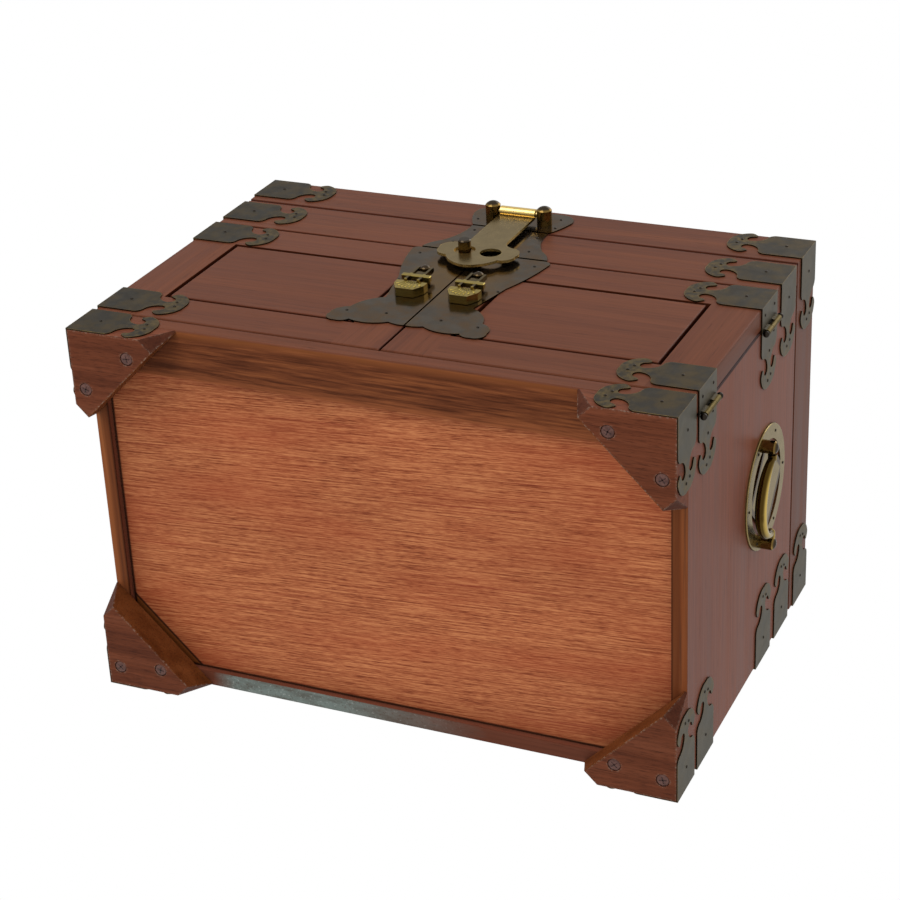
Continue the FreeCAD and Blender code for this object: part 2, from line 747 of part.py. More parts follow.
def make_hasp():
    rod = DOC.addObject("Part::Cylinder", "hasp_rod_bar")
    bind(rod, Radius="rod_radius", Height="2 * (hasp_post_spread + rod_seat)")
    place(rod, "-(hasp_post_spread + rod_seat)", "rod_y", "rod_z", SIDEWARDS[1])
    posts = []
    for name, side in SIDES:
        post = domed_post("hasp_post_" + name, size("hasp_post_radius"), size("hasp_post_length"))
        place(post, "%d * hasp_post_spread" % side, "front_y - lock_plate_thick", "rod_z", FRONTWARDS)
        posts.append(cut("hasp_post_bored_" + name, post, rod))
    keep("hasp_posts", group("hasp_post_set", posts))
    keep("hasp_rod", rod)

    body = new_body("hasp_strap")
    wide = size("hasp_width") / 2
    long = size("hasp_length")
    neck = [(wide, 0), (wide, -size("hasp_neck"))]
    head = scaled(HASP_HEAD_HALF, size("hasp_head_width") / 2, long)
    sketch = new_sketch(body, "XZ_Plane", -size("hasp_roll_radius"))
    trace(sketch, (0, 0), mirrored((0, 0), neck + head))
    for name, side in SIDES:
        ring(sketch, (side * size("hasp_hole_spread"), -size("hasp_hole_drop")), size("hasp_hole_radius"))
    pad(body, sketch, "hasp_thick")
    barrel = new_sketch(body, "YZ_Plane", -wide)
    ring(barrel, (0, 0), size("hasp_roll_radius"))
    pad(body, barrel, "hasp_width")
    drill(body, "YZ_Plane", (0, 0), size("rod_radius") + size("pivot_play"))
    place(body, "0", "rod_y", "rod_z")
    keep("hasp", body)

    flange = size("hasp_hole_radius")
    lip = size("knob_flange")
    radius = size("knob_radius")
    tip = size("hasp_thick") + size("knob_length")
    edge = size("knob_edge")
    profile = [(flange, 0), (flange, lip), (radius, lip)]
    profile += [(radius, tip - edge), (radius - edge, tip), (0, tip)]
    knob = turned("hasp_stud", (0, 0), profile)
    place(knob, "-hasp_hole_spread", "front_y - hasp_face + hasp_thick", "rod_z - hasp_hole_drop",
          FRONTWARDS)
    keep("hasp_knob", knob)


# Drop pulls: a stud on each door plate, and a flat faceted drop that swings on it

# Right half of the drop below its bar, in half widths and heights
PULL_BODY_HALF = [(1.0, 0), (0.98, -0.42), (0.57, -1.0), (0, -1.0)]


def make_pulls():
    ear = size("pull_ear_thick")
    pin = size("pull_pin_radius")
    inner = size("pull_stud_radius") + size("bail_end_gap")
    outer = inner + ear
    drop = size("pull_bar_drop")
    arm_length = size("pull_body_drop") + ear / 2
    half_bar = size("pull_bar_width") / 2
    bar_radius = size("pull_bar_radius")
    back = size("pull_pivot_out") - size("pull_seat_gap")
    outline = scaled(PULL_BODY_HALF, size("pull_body_width") / 2, size("pull_body_height"))
    for name, side in SIDES:
        post = domed_post("pull_post_" + name, size("pull_stud_radius"), size("pull_stud_length"))
        drill(post, "YZ_Plane", (0, size("pull_pivot_out")), pin + size("pivot_play"))
        place(post, "%d * pull_spread" % side, "front_y - lock_plate_thick", "pull_height", FRONTWARDS)
        keep("pull_stud_" + name, post)

        body = new_body("pull_body_" + name)
        face = new_sketch(body, "XZ_Plane", -back)
        trace(face, (0, 0), mirrored((0, 0), outline))
        pad(body, face, "pull_body_thick")
        place(body, "%d * pull_spread" % side, "pull_pivot_y", "pull_height - pull_body_drop")
        bar = Part.makeCylinder(bar_radius, 2 * half_bar, V(-half_bar, 0, -drop), V(1, 0, 0))
        bar = bar.fuse(Part.makeCylinder(pin, 2 * outer, V(-outer, 0, 0), V(1, 0, 0)))
        for low in (-outer, inner):
            eye = Part.makeCylinder(ear, ear, V(low, 0, 0), V(1, 0, 0))
            arm = Part.makeBox(ear, 2 * ear, arm_length, V(low, -ear, -arm_length))
            bar = bar.fuse(eye).fuse(arm)
        hanger = DOC.addObject("Part::Feature", "pull_hanger_" + name)
        hanger.Shape = bar.removeSplitter()
        place(hanger, "%d * pull_spread" % side, "pull_pivot_y", "pull_height")
        keep("pull_drop_" + name, fuse("pull_piece_" + name, hanger, body))


# Side handles: a pierced round plate, two posts, and a bail that swells in the middle

def handle_plate(name, side):
    """A ring with four windows left open between its rim and a square set on its corner."""
    body = new_body(name)
    sketch = new_sketch(body, "YZ_Plane")
    ring(sketch, (0, 0), size("handle_plate_radius"))
    radius = size("handle_window_radius")
    chord = size("handle_window_chord")
    half = math.sqrt(radius ** 2 - chord ** 2)
    for quarter in range(4):
        out = V(1, 0, 0)
        along = V(0, 1, 0)
        turn = FreeCAD.Rotation(V(0, 0, 1), 45 + 90 * quarter)
        low = turn.multVec(out * chord - along * half)
        high = turn.multVec(out * chord + along * half)
        crown = turn.multVec(out * radius)
        trace(sketch, (low.x, low.y), [(crown.x, crown.y, high.x, high.y)])
    pad(body, sketch, "handle_plate_thick", side < 0)
    DOC.recompute()
    face = side * size("handle_plate_thick")
    near = size("handle_rim_round") / 10
    rim = []
    for number, edge in enumerate(body.Shape.Edges, start=1):
        box = edge.BoundBox
        outermost = box.YLength > size("handle_plate_radius")
        if outermost and abs(box.XMin - face) < near and abs(box.XMax - face) < near:
            rim.append("Edge%d" % number)
    disc = body.Tip
    soft = body.newObject("PartDesign::Fillet", name + "_rim")
    soft.Base = (disc, rim)
    bind(soft, Radius="handle_rim_round")
    body.Tip = soft
    place(body, "%d * half_width" % side, "middle_y", "handle_height")
    return body


def bail_shape():
    """The bail hung below its pivot line along Y: a swelling bar with a pin at each end."""
    post = size("handle_post_radius")
    end = size("handle_post_spread") - post - size("bail_end_gap")
    eye = size("bail_eye_radius")
    span = end - eye
    drop = size("bail_drop")
    arc_radius = (span ** 2 + drop ** 2) / (2 * drop)
    rise = arc_radius - drop
    reach = math.atan2(span, rise)
    steps = 6
    sections = []
    for step in range(-steps, steps + 1):
        angle = reach * step / steps
        swell = math.cos(math.pi * step / (2 * steps))
        radius = size("bail_end_radius") + (size("bail_middle_radius") - size("bail_end_radius")) * swell
        spot = V(0, arc_radius * math.sin(angle), rise - arc_radius * math.cos(angle))
        heading = V(0, math.cos(angle), math.sin(angle))
        sections.append(Part.Wire(Part.makeCircle(radius, spot, heading)))
    shape = Part.makeLoft(sections, True, False)
    pin = size("bail_pin_radius")
    for sign in (-1, 1):
        tip = V(0, sign * end, 0)
        shape = shape.fuse(Part.makeCylinder(eye, eye, tip, V(0, -sign, 0)))
        shape = shape.fuse(Part.makeCylinder(pin, size("bail_pin_length"), tip, V(0, sign, 0)))
        shape = shape.fuse(Part.makeSphere(eye, tip - V(0, sign * eye, 0)))
    return shape


def make_handles():
    shape = bail_shape()
    bore = size("bail_pin_radius") + size("pivot_play")
    for name, side in SIDES:
        keep("handle_plate_" + name, handle_plate("handle_disc_" + name, side))
        posts = []
        for end_name, end in ENDS:
            post = domed_post("handle_post_%s_%s" % (name, end_name), size("handle_post_radius"),
                              size("handle_post_length"))
            drill(post, "XZ_Plane", (0, size("handle_pivot_out")), bore)
            place(post, "%d * (half_width + handle_plate_thick)" % side,
                  "middle_y + %d * handle_post_spread" % end, "handle_pivot_z", SIDEWARDS[side])
            posts.append(post)
        keep("handle_posts_" + name, group("handle_post_set_" + name, posts))
        bail = DOC.addObject("Part::Feature", "bail_bar_" + name)
        bail.Shape = shape
        place(bail, "%d * handle_pivot_x" % side, "middle_y", "handle_pivot_z")
        keep("handle_bail_" + name, bail)


# Drawers

# Half profile of a knob below its dome, in head radii and heights
DRAWER_KNOB = [(0.8, 0), (0.8, 0.14), (0.5, 0.29), (0.5, 0.64), (1.0, 1.0)]


def make_drawer(name, floor, ceiling):
    low = floor + " + drawer_seat_gap"
    tall = "%s - drawer_top_gap - (%s)" % (ceiling, low)
    wide = "2 * drawer_half"
    back = "inner_back - drawer_back_gap"
    box_front = "rail_back + drawer_front_thick"
    deep = "%s - (%s)" % (back, box_front)
    front = block(name + "_front_board", ("-drawer_half", "rail_back", low),
                  (wide, "drawer_front_thick", tall))
    keep("drawer_front_" + name, eased(name + "_front_face", front, "y", -1))
    outer = block(name + "_box_outer", ("-drawer_half", box_front, low), (wide, deep, tall))
    inner = block(name + "_box_inner", ("-drawer_half + drawer_wall", box_front, low),
                  (wide + " - 2 * drawer_wall", deep + " - drawer_wall", tall))
    keep("drawer_box_" + name, cut(name + "_box_walls", outer, inner))
    floor_board = block(name + "_floor_board", ("-drawer_half + drawer_wall", box_front, low),
                        (wide + " - 2 * drawer_wall", deep + " - drawer_wall", "drawer_floor_thick"))
    keep("drawer_bottom_" + name, floor_board)
    head = size("drawer_knob_radius")
    long = size("drawer_knob_length")
    dome = size("drawer_knob_dome")
    profile = scaled(DRAWER_KNOB, head, long - dome) + [cap(head, long, dome)]
    knob = turned(name + "_knob_turning", (0, 0), profile)
    place(knob, "0", "rail_back", "%s + (%s) / 2" % (low, tall), FRONTWARDS)
    keep("drawer_knob_" + name, knob)


make_case()
make_feet()
make_mounts()
make_door_hinges()
make_lid_hinges()
make_lid()
for door_name, door_side in SIDES:
    make_door(door_name, door_side)
make_lock_plates()
make_hasp()
make_pulls()
make_handles()
make_drawer("lower", "base_top", "shelf_low")
make_drawer("upper", "shelf_top", "rail_low")

# Checks before anything is written
DOC.recompute()
for obj in DOC.Objects:
    if "Invalid" in obj.State or "Error" in obj.State:
        raise RuntimeError("%s failed: %s" % (obj.Name, obj.State))
for label, obj in parts.items():
    if obj.Shape.isNull() or not obj.Shape.isValid() or not obj.Shape.Solids:
        raise RuntimeError(label + " has no valid solid")

os.makedirs("parts", exist_ok=True)
for label, obj in parts.items():
    obj.Shape.exportStep("parts/%s.step" % label)
print("%d sub-parts written" % len(parts))
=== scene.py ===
import json
import math

import bmesh
import bpy
from mathutils import Matrix, Vector


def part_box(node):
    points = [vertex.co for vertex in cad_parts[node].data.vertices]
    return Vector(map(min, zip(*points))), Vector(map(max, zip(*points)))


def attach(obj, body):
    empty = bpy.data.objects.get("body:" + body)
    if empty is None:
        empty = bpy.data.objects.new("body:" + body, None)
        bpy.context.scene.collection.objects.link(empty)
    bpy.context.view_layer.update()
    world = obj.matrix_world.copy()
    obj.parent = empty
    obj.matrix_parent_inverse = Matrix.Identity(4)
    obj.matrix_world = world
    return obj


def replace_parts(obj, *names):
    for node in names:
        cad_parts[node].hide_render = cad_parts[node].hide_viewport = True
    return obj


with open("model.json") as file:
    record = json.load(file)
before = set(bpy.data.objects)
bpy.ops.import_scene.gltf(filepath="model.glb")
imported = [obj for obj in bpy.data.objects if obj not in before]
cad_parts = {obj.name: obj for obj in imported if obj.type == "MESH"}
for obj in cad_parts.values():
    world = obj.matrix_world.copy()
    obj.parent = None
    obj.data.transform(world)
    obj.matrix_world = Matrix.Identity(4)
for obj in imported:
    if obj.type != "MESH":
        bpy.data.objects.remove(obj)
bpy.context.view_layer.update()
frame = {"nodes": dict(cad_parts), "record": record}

# Brass-bound jewellery chest, standing on its feet and seen from below its front.

MM = 0.001

# Planes and middles read from the frame
RAIL_LOW, RAIL_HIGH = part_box("front_top_rail")
HALF_WIDTH = RAIL_HIGH[0]
FRONT = RAIL_LOW[1]
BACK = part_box("back_panel")[1][1]
DEPTH = BACK - FRONT
MIDDLE = (FRONT + BACK) / 2
LID_LOW, LID_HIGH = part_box("lid_frame")
DOOR_LOW, DOOR_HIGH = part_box("door_frame_right")
BASE_LOW, BASE_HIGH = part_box("base_rail")
RAIL_DEEP = BASE_HIGH[1] - FRONT
PLY_LOW, PLY_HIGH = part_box("bottom_panel")
SIDE_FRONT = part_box("side_panel_right")[0][1] - FRONT
MOUNT_THICK = 0.7 * MM
SIDES = {"left": -1, "right": 1}

# The photograph's camera
CAMERA_AT = Vector((425.5, -511.48, -817.7)) * MM
CAMERA_LOOK = Vector((-0.37784, 0.44579, 0.81151))
CAMERA_UP = Vector((-0.1443, -0.8943, 0.4236))
LENS_MM = 91.2
SENSOR_MM = 36
CLIP_START = 0.01


def tint(red, green, blue):
    """A colour as it reads on a screen, in 0 to 255, made linear."""
    steps = [value / 255 for value in (red, green, blue)]
    linear = [s / 12.92 if s <= 0.04045 else ((s + 0.055) / 1.055) ** 2.4 for s in steps]
    return (*linear, 1.0)


def fade(start, end, most=1.0, plane=0.0):
    """Where a share starts and ends, in millimetres from a plane, and its most."""
    return plane + start * MM, plane + end * MM, most


# Node building

COLOUR = ("RGBA", "Color")
VECTOR = ("VECTOR", "Vector")
ARRIS_TURN = (0.74, 0.97)
ARRIS_SAMPLES = 4
SKY_SAMPLES = 8


def new_finish(name):
    """An empty material with its tree and its surface shader."""
    material = bpy.data.materials.new(name)
    material.use_nodes = True
    return material, material.node_tree, material.node_tree.nodes["Principled BSDF"]


def lead(tree, value, socket):
    """Set a socket to a plain value, or link it to another node's socket."""
    if isinstance(value, bpy.types.NodeSocket):
        tree.links.new(value, socket)
    else:
        socket.default_value = value


def add(tree, kind, inputs=None, **settings):
    """A node with its settings, and inputs that are plain values or other nodes' sockets."""
    made = tree.nodes.new(kind)
    for name, value in settings.items():
        setattr(made, name, value)
    for name, value in (inputs or {}).items():
        lead(tree, value, made.inputs[name])
    return made


def whole_place(tree):
    """Object coordinates as one vector."""
    return add(tree, "ShaderNodeTexCoord").outputs["Object"]


def place_of(tree):
    """Object coordinates, apart as x, y and z."""
    parts = add(tree, "ShaderNodeSeparateXYZ", {"Vector": whole_place(tree)}).outputs
    return parts["X"], parts["Y"], parts["Z"]


def combine(tree, x, y, z):
    return add(tree, "ShaderNodeCombineXYZ", {"X": x, "Y": y, "Z": z}).outputs["Vector"]


def arithmetic(operation):
    """A function that adds one step of arithmetic to a tree."""
    def step(tree, first, second=0.0):
        return add(tree, "ShaderNodeMath", {0: first, 1: second}, operation=operation).outputs["Value"]
    return step


plus = arithmetic("ADD")
minus = arithmetic("SUBTRACT")
times = arithmetic("MULTIPLY")
larger = arithmetic("MAXIMUM")
smaller = arithmetic("MINIMUM")
unsigned = arithmetic("ABSOLUTE")
root = arithmetic("SQRT")
more_than = arithmetic("GREATER_THAN")
less_than = arithmetic("LESS_THAN")


def rest_of(tree, share):
    """What a share leaves of 1."""
    return minus(tree, 1.0, share)


def apart(tree, first, second):
    """How far two values lie apart."""
    return unsigned(tree, minus(tree, first, second))


def distance(tree, first, second):
    """The length across two legs at right angles."""
    return root(tree, plus(tree, times(tree, first, first), times(tree, second, second)))


def between(tree, value, low, high, out_low=0.0, out_high=1.0):
    """A value rescaled from one span to another, held at both ends."""
    made = add(tree, "ShaderNodeMapRange", {"Value": value, "From Min": low, "From Max": high,
                                            "To Min": out_low, "To Max": out_high})
    return made.outputs["Result"]


def rise(tree, value, start, end, most=1.0):
    """A share that grows from 0 to its most along a span of a value."""
    return between(tree, value, start, end, 0.0, most)


def fall(tree, value, start, end, most=1.0):
    """A share that shrinks from its most to 0 along a span of a value."""
    return between(tree, value, start, end, most, 0.0)


def cloud(tree, scale, detail=2.0, roughness=0.5, distortion=0.0, vector=None):
    """A noise field from 0 to 1, on Object coordinates or on another vector."""
    made = add(tree, "ShaderNodeTexNoise", {"Vector": vector or whole_place(tree), "Scale": scale,
                                            "Detail": detail, "Roughness": roughness,
                                            "Distortion": distortion})
    return made.outputs["Fac"]


def streaks(tree, scale, detail=2.0, roughness=0.5, distortion=0.0, shift=(0, 0, 0), vector=None):
    """A noise field with its own scale along each axis, moved by a shift."""
    drawn = add(tree, "ShaderNodeMapping", {"Vector": vector or whole_place(tree), "Scale": scale,
                                            "Location": shift})
    return cloud(tree, 1.0, detail, roughness, distortion, drawn.outputs["Vector"])


def wavering(tree, value, noise, reach):
    """A value that noise moves to and fro by half a reach."""
    return plus(tree, value, times(tree, minus(tree, noise, 0.5), reach))


def mix(tree, kind, share, first, second):
    """Two colours or two vectors mixed by a share of the second."""
    data_type, ending = kind
    made = add(tree, "ShaderNodeMix", data_type=data_type)
    sockets = {socket.identifier: socket for socket in made.inputs}
    lead(tree, share, sockets["Factor_Float"])
    lead(tree, first, sockets["A_" + ending])
    lead(tree, second, sockets["B_" + ending])
    return next(socket for socket in made.outputs if socket.identifier == "Result_" + ending)


def blend(tree, share, first, second):
    """Two colours mixed by a share of the second."""
    return mix(tree, COLOUR, share, first, second)


def tint_high(tree, colour, value, shade, *span):
    """A colour with a shade over it where a value is high."""
    return blend(tree, rise(tree, value, *span), colour, shade)


def tint_low(tree, colour, value, shade, *span):
    """A colour with a shade over it where a value is low."""
    return blend(tree, fall(tree, value, *span), colour, shade)


def three_tones(tree, value, turns, shades):
    """A dark, a middle and a light shade along a value: turns are its start, its middle and its end."""
    start, turn, end = turns
    dark, middle, light = shades
    lower = blend(tree, rise(tree, value, start, turn), dark, middle)
    return blend(tree, rise(tree, value, turn, end), lower, light)


def brightened(tree, colour, value):
    return add(tree, "ShaderNodeHueSaturation", {"Color": colour, "Value": value}).outputs["Color"]


def surface(tree, shader, colour, roughness, height=None, relief=None):
    """Lead a colour, a roughness and a height field, with its depth and strength, to the shader."""
    tree.links.new(colour, shader.inputs["Base Color"])
    tree.links.new(roughness, shader.inputs["Roughness"])
    if relief:
        deep, strength = relief
        bump = add(tree, "ShaderNodeBump", {"Height": height, "Distance": deep, "Strength": strength})
        tree.links.new(bump.outputs["Normal"], shader.inputs["Normal"])


def edge_wear_and_glint(tree, radius):
    """A share that rises on arrises, where hands rub the surface; on the brass it also lays painted
    highlights.
    """
    soft = add(tree, "ShaderNodeBevel", {"Radius": radius}, samples=ARRIS_SAMPLES).outputs["Normal"]
    sharp = add(tree, "ShaderNodeNewGeometry").outputs["Normal"]
    turn = add(tree, "ShaderNodeVectorMath", {0: soft, 1: sharp}, operation="DOT_PRODUCT").outputs["Value"]
    return fall(tree, turn, *ARRIS_TURN)


def open_sky(tree, reach):
    """1 on open faces, falling to 0 deep in corners and narrow gaps."""
    return add(tree, "ShaderNodeAmbientOcclusion", {"Distance": reach}, samples=SKY_SAMPLES).outputs["AO"]


def darken(tree, colour, sky, fades, corner_shade):
    """A colour darkened with painted shade in its corners and narrow gaps, by fades along how open a place
    is.
    """
    for span in fades:
        colour = tint_low(tree, colour, sky, corner_shade, *span)
    return colour


def inward(tree):
    """How far a point lies behind the front and behind the nearer side, and its height."""
    x, y, z = place_of(tree)
    return minus(tree, y, FRONT), minus(tree, HALF_WIDTH, unsigned(tree, x)), z


def nearer_face(tree, from_front):
    """How far a point lies from the nearer of the front and the back."""
    return smaller(tree, from_front, minus(tree, DEPTH, from_front))


# Wood

# Below, a fade is where a share starts and ends along its measure and, if not 1, its most.
# A stain, of real colour or of painted shade, is its shade, then its fade. A span has no most, or its lowest
# and highest result.
# A noise field is its scale, along the grain first, then its detail, roughness, distortion and shift.

GRAIN = {"X": (0, 1, 2), "Y": (1, 0, 2), "Z": (2, 0, 1)}
WOOD_WARP = ((4, 30, 30), 2.0)
WOOD_STREAK = ((3.5, 110, 110), 5.0, 0.62, 0.4)
WOOD_FIBRE = ((14, 620, 620), 4.0, 0.65)
WOOD_PORE = ((55, 1100, 1100), 2.0, 0.6)
STREAK_SHARE = 0.75
TONE_HALF = 0.2
TONE_TURNS = (0.0, 0.5, 1.0)
FIBRE_SPAN = (0.32, 0.68)
FIBRE_DARKER = 0.22
FIBRE_LIGHTER = 0.14
BOARD_SPREAD = 0.05
PORE_SPAN = (0.62, 0.7)
PORE_MOST = 0.5
PORE_BROWN = tint(40, 17, 10)
GLOSS_SPAN = (0.3, 0.7)
WOOD_RELIEF = (0.06 * MM, 0.35)
# Painted shade: the wood is darkened in its corners and narrow gaps
WOOD_CORNER = 3 * MM
WOOD_CORNER_SHADE = tint(36, 13, 7)
WOOD_CORNER_SHADE_FADES = ((0.3, 0.78, 0.4), (0.15, 0.5, 0.88))

# Seams of the front, darkened with painted shade: lips are a level with the fade of the painted shade on both
# sides of it
SEAM_PAINTED_SHADE = tint(58, 21, 8)
SEAM_MOST = 0.85
SEAM_START = fade(0.08, 0.4)
SEAM_REACH = fade(3.0, 5.0)
SEAM_OFF_SIDE = fade(0.4, 1.2)
SEAM_OFF_TOP = fade(-1.6, -1.0, plane=LID_HIGH[2])
SEAM_OFF_FOOT = fade(1.6, 2.6, plane=BASE_LOW[2])
SEAM_LIPS = (((DOOR_HIGH[2] + RAIL_LOW[2]) / 2, fade(0.7, 1.25, 0.9)),
             ((RAIL_HIGH[2] + LID_LOW[2]) / 2, fade(1.0, 1.7, 0.9)))
LIP_REACH = fade(1.0, 2.0)
TIGHT_LEVEL = (BASE_HIGH[2] + DOOR_LOW[2]) / 2
TIGHT_FADE = fade(1.5, 2.2)


def along_grain(tree, axis):
    """Object coordinates with the first one running along the grain."""
    place = place_of(tree)
    return combine(tree, *[place[number] for number in GRAIN[axis]])


def tight_share(tree):
    """1 in the joint of the doors and the base rail, which closes tight and is kept free of the painted shade
    of seams and corners.
    """
    from_front, _, height = inward(tree)
    near = fall(tree, apart(tree, height, TIGHT_LEVEL), *TIGHT_FADE)
    return times(tree, near, fall(tree, from_front, *SEAM_REACH))


def seam_shade_share(tree, tight):
    """1 a little way into the seams and grooves of the front and on lips beside them, where painted shade
    darkens the wood.
    """
    from_front, from_side, height = inward(tree)
    deep = times(tree, rise(tree, from_front, *SEAM_START), fall(tree, from_front, *SEAM_REACH))
    off_edges = times(tree, rise(tree, from_side, *SEAM_OFF_SIDE), fall(tree, height, *SEAM_OFF_TOP))
    above_base = rise(tree, height, *SEAM_OFF_FOOT)
    inside = times(tree, deep, times(tree, off_edges, above_base))
    lips = 0.0
    for level, span in SEAM_LIPS:
        lips = larger(tree, fall(tree, apart(tree, height, level), *span), lips)
    lips = times(tree, lips, fall(tree, from_front, *LIP_REACH))
    return times(tree, larger(tree, inside, lips), rest_of(tree, tight))


def rosewood(name, axis, shades, gloss, contrast=1.0, cross=None, local=None, seams=False):
    """Lacquered red-brown wood: even colour, long soft streaks, fine fibres and sparse dark pores.

    gloss is its least and most roughness and its index of refraction. cross gives another grain axis and a
    share, worked out in the same tree, of the surface where the grain runs that way. local recolours part of
    the surface, from the colour, the streaks and the fibres. seams darkens the front's seams with painted
    shade.
    """
    material, tree, shader = new_finish(name)
    grain = along_grain(tree, axis)
    if cross:
        other_axis, share_of = cross
        grain = mix(tree, VECTOR, share_of(tree), grain, along_grain(tree, other_axis))
    warp = streaks(tree, *WOOD_WARP, vector=grain)
    streak = streaks(tree, *WOOD_STREAK, vector=grain)
    fibre = streaks(tree, *WOOD_FIBRE, vector=grain)
    pore = streaks(tree, *WOOD_PORE, vector=grain)
    board = add(tree, "ShaderNodeObjectInfo").outputs["Random"]
    figure = plus(tree, times(tree, streak, STREAK_SHARE), times(tree, warp, 1 - STREAK_SHARE))
    tone = between(tree, figure, 0.5 - TONE_HALF / contrast, 0.5 + TONE_HALF / contrast)
    colour = three_tones(tree, tone, TONE_TURNS, shades)
    fibres = between(tree, fibre, *FIBRE_SPAN, 1 - FIBRE_DARKER * contrast, 1 + FIBRE_LIGHTER * contrast)
    boards = between(tree, board, 0.0, 1.0, 1 - BOARD_SPREAD, 1 + BOARD_SPREAD)
    colour = brightened(tree, colour, times(tree, fibres, boards))
    pores = rise(tree, pore, *PORE_SPAN, PORE_MOST * contrast)
    colour = blend(tree, pores, colour, PORE_BROWN)
    if local:
        colour = local(tree, colour, streak, fibre)
    sky = open_sky(tree, WOOD_CORNER)
    if seams:
        tight = tight_share(tree)
        # Painted shade in the front's seams and grooves; the tight joint at the base rail gets none, in its
        # seams or corners
        colour = blend(tree, times(tree, seam_shade_share(tree, tight), SEAM_MOST), colour, SEAM_PAINTED_SHADE)
        sky = larger(tree, sky, tight)
    # Painted shade darkens the wood in its corners and narrow gaps
    colour = darken(tree, colour, sky, WOOD_CORNER_SHADE_FADES, WOOD_CORNER_SHADE)
    smooth, rough, index = gloss
    surface(tree, shader, colour, between(tree, streak, *GLOSS_SPAN, smooth, rough),
            minus(tree, fibre, pores), WOOD_RELIEF)
    shader.inputs["IOR"].default_value = index
    return material


# Doors and side panels, darkened with painted shade along the line where they meet
DOOR_FADE = 1.0 * MM
DOOR_GAP_SHADE = tint(40, 11, 8)
DOOR_GAP_SHADE_BACK = fade(-1.5, -1.1, plane=SIDE_FRONT)
DOOR_GAP_SHADE_OUTER = fade(0.5, 1.0, 0.9)
SIDE_GAP_SHADE = fade(0.8, 1.2, 0.9, SIDE_FRONT)
UNDERSIDE = fade(0.3, 0.8, plane=BASE_LOW[2])
SAWN_SPAN = (0.35, 0.65)
SAWN_SHADES = (tint(120, 64, 34), tint(156, 95, 56))
SAWN_FIBRE = (tint(66, 46, 36), 0.56, 0.68, 0.5)
SAWN_INNER = (tint(84, 42, 22), *fade(2.6, 4.0, 0.55))
SAWN_JOINT = (tint(40, 18, 10), *fade(6.4, 7.2, 0.7))


def door_height_share(tree, height):
    """1 between the lower and the upper edge of the doors."""
    return times(tree, rise(tree, height, DOOR_LOW[2] - DOOR_FADE, DOOR_LOW[2]),
                 fall(tree, height, DOOR_HIGH[2], DOOR_HIGH[2] + DOOR_FADE))


def dark_back_edge(tree, colour, streak, fibre):
    """The doors' outer edges, darkened with painted shade along the line where they close on the sides."""
    from_front, from_side, _ = inward(tree)
    line = times(tree, rise(tree, from_front, *DOOR_GAP_SHADE_BACK), fall(tree, from_side, *DOOR_GAP_SHADE_OUTER))
    return blend(tree, line, colour, DOOR_GAP_SHADE)


def sawn_edge(tree, colour, streak, fibre):
    """The side panels' edges: raw and orange below, darker towards the plywood, and darkened with painted
    shade at the doors.
    """
    from_front, from_side, height = inward(tree)
    raw = blend(tree, rise(tree, streak, *SAWN_SPAN), *SAWN_SHADES)
    raw = tint_high(tree, raw, fibre, *SAWN_FIBRE)
    raw = tint_high(tree, raw, from_side, *SAWN_INNER)
    raw = tint_high(tree, raw, from_side, *SAWN_JOINT)
    colour = blend(tree, fall(tree, height, *UNDERSIDE), colour, raw)
    # Painted shade on the side panel along its gap at the doors
    line = times(tree, fall(tree, from_front, *SIDE_GAP_SHADE), door_height_share(tree, height))
    return blend(tree, line, colour, DOOR_GAP_SHADE)


# Underside of the base rail
DASH = ((34, 760, 760), 4.0, 0.66)
DASH_TURNS = (0.36, 0.52, 0.68)
DASH_SHADES = (tint(76, 38, 20), tint(104, 56, 32), tint(132, 76, 43))
DASH_WANDER = 9 * MM
FRONT_ARRIS = (tint(138, 80, 42), *fade(1.0, 4.5, 0.6))
INNER_ARRIS = (tint(150, 86, 52), *fade(-5, 0, 0.7, RAIL_DEEP))
BEHIND_FRONT = fade(0.3, 0.8)


def dark_underside(tree, colour, streak, fibre):
    """The base rail's underside: orange along the front arris, then short brown and dark streaks."""
    from_front, _, _ = inward(tree)
    dash = streaks(tree, *DASH)
    raw = three_tones(tree, dash, DASH_TURNS, DASH_SHADES)
    wander = wavering(tree, from_front, dash, DASH_WANDER)
    raw = tint_low(tree, raw, wander, *FRONT_ARRIS)
    raw = tint_high(tree, raw, wander, *INNER_ARRIS)
    return blend(tree, rise(tree, from_front, *BEHIND_FRONT), colour, raw)


# Feet: a leg along each wall, and tips that slope back
FOOT_LEG = 51.0 * MM
FOOT_HEIGHT = 15.0 * MM
TIP_SLOPE = 12.5 * MM
TIP_LAND = 1.5 * MM
FOOT_RAW_SPAN = (0.3, 0.7)
FOOT_RAW_SHADES = (tint(88, 44, 16), tint(116, 65, 30))
FOOT_INNER = fade(-0.8, -0.3, 0.88, FOOT_LEG)
# Painted shade on the feet's sloped tips
FOOT_TIP_SHADE = (tint(56, 28, 19), *fade(-0.4, -0.1, 0.65))
FOOT_FLECK = ((160, 1500, 1500), 2.0, 0.6)
FOOT_FLECK_STAIN = (tint(48, 22, 14), 0.5, 0.7, 0.5)
SCUFF_RADIUS = 1.8 * MM
SCUFF_CHIP = (620, 4.0, 0.65)
SCUFF_SPAN = (0.48, 0.6, 0.04, 0.85)
SCUFF_HEIGHT = fade(-4, -2, plane=FOOT_HEIGHT)
SCUFF_GREY = tint(152, 130, 114)


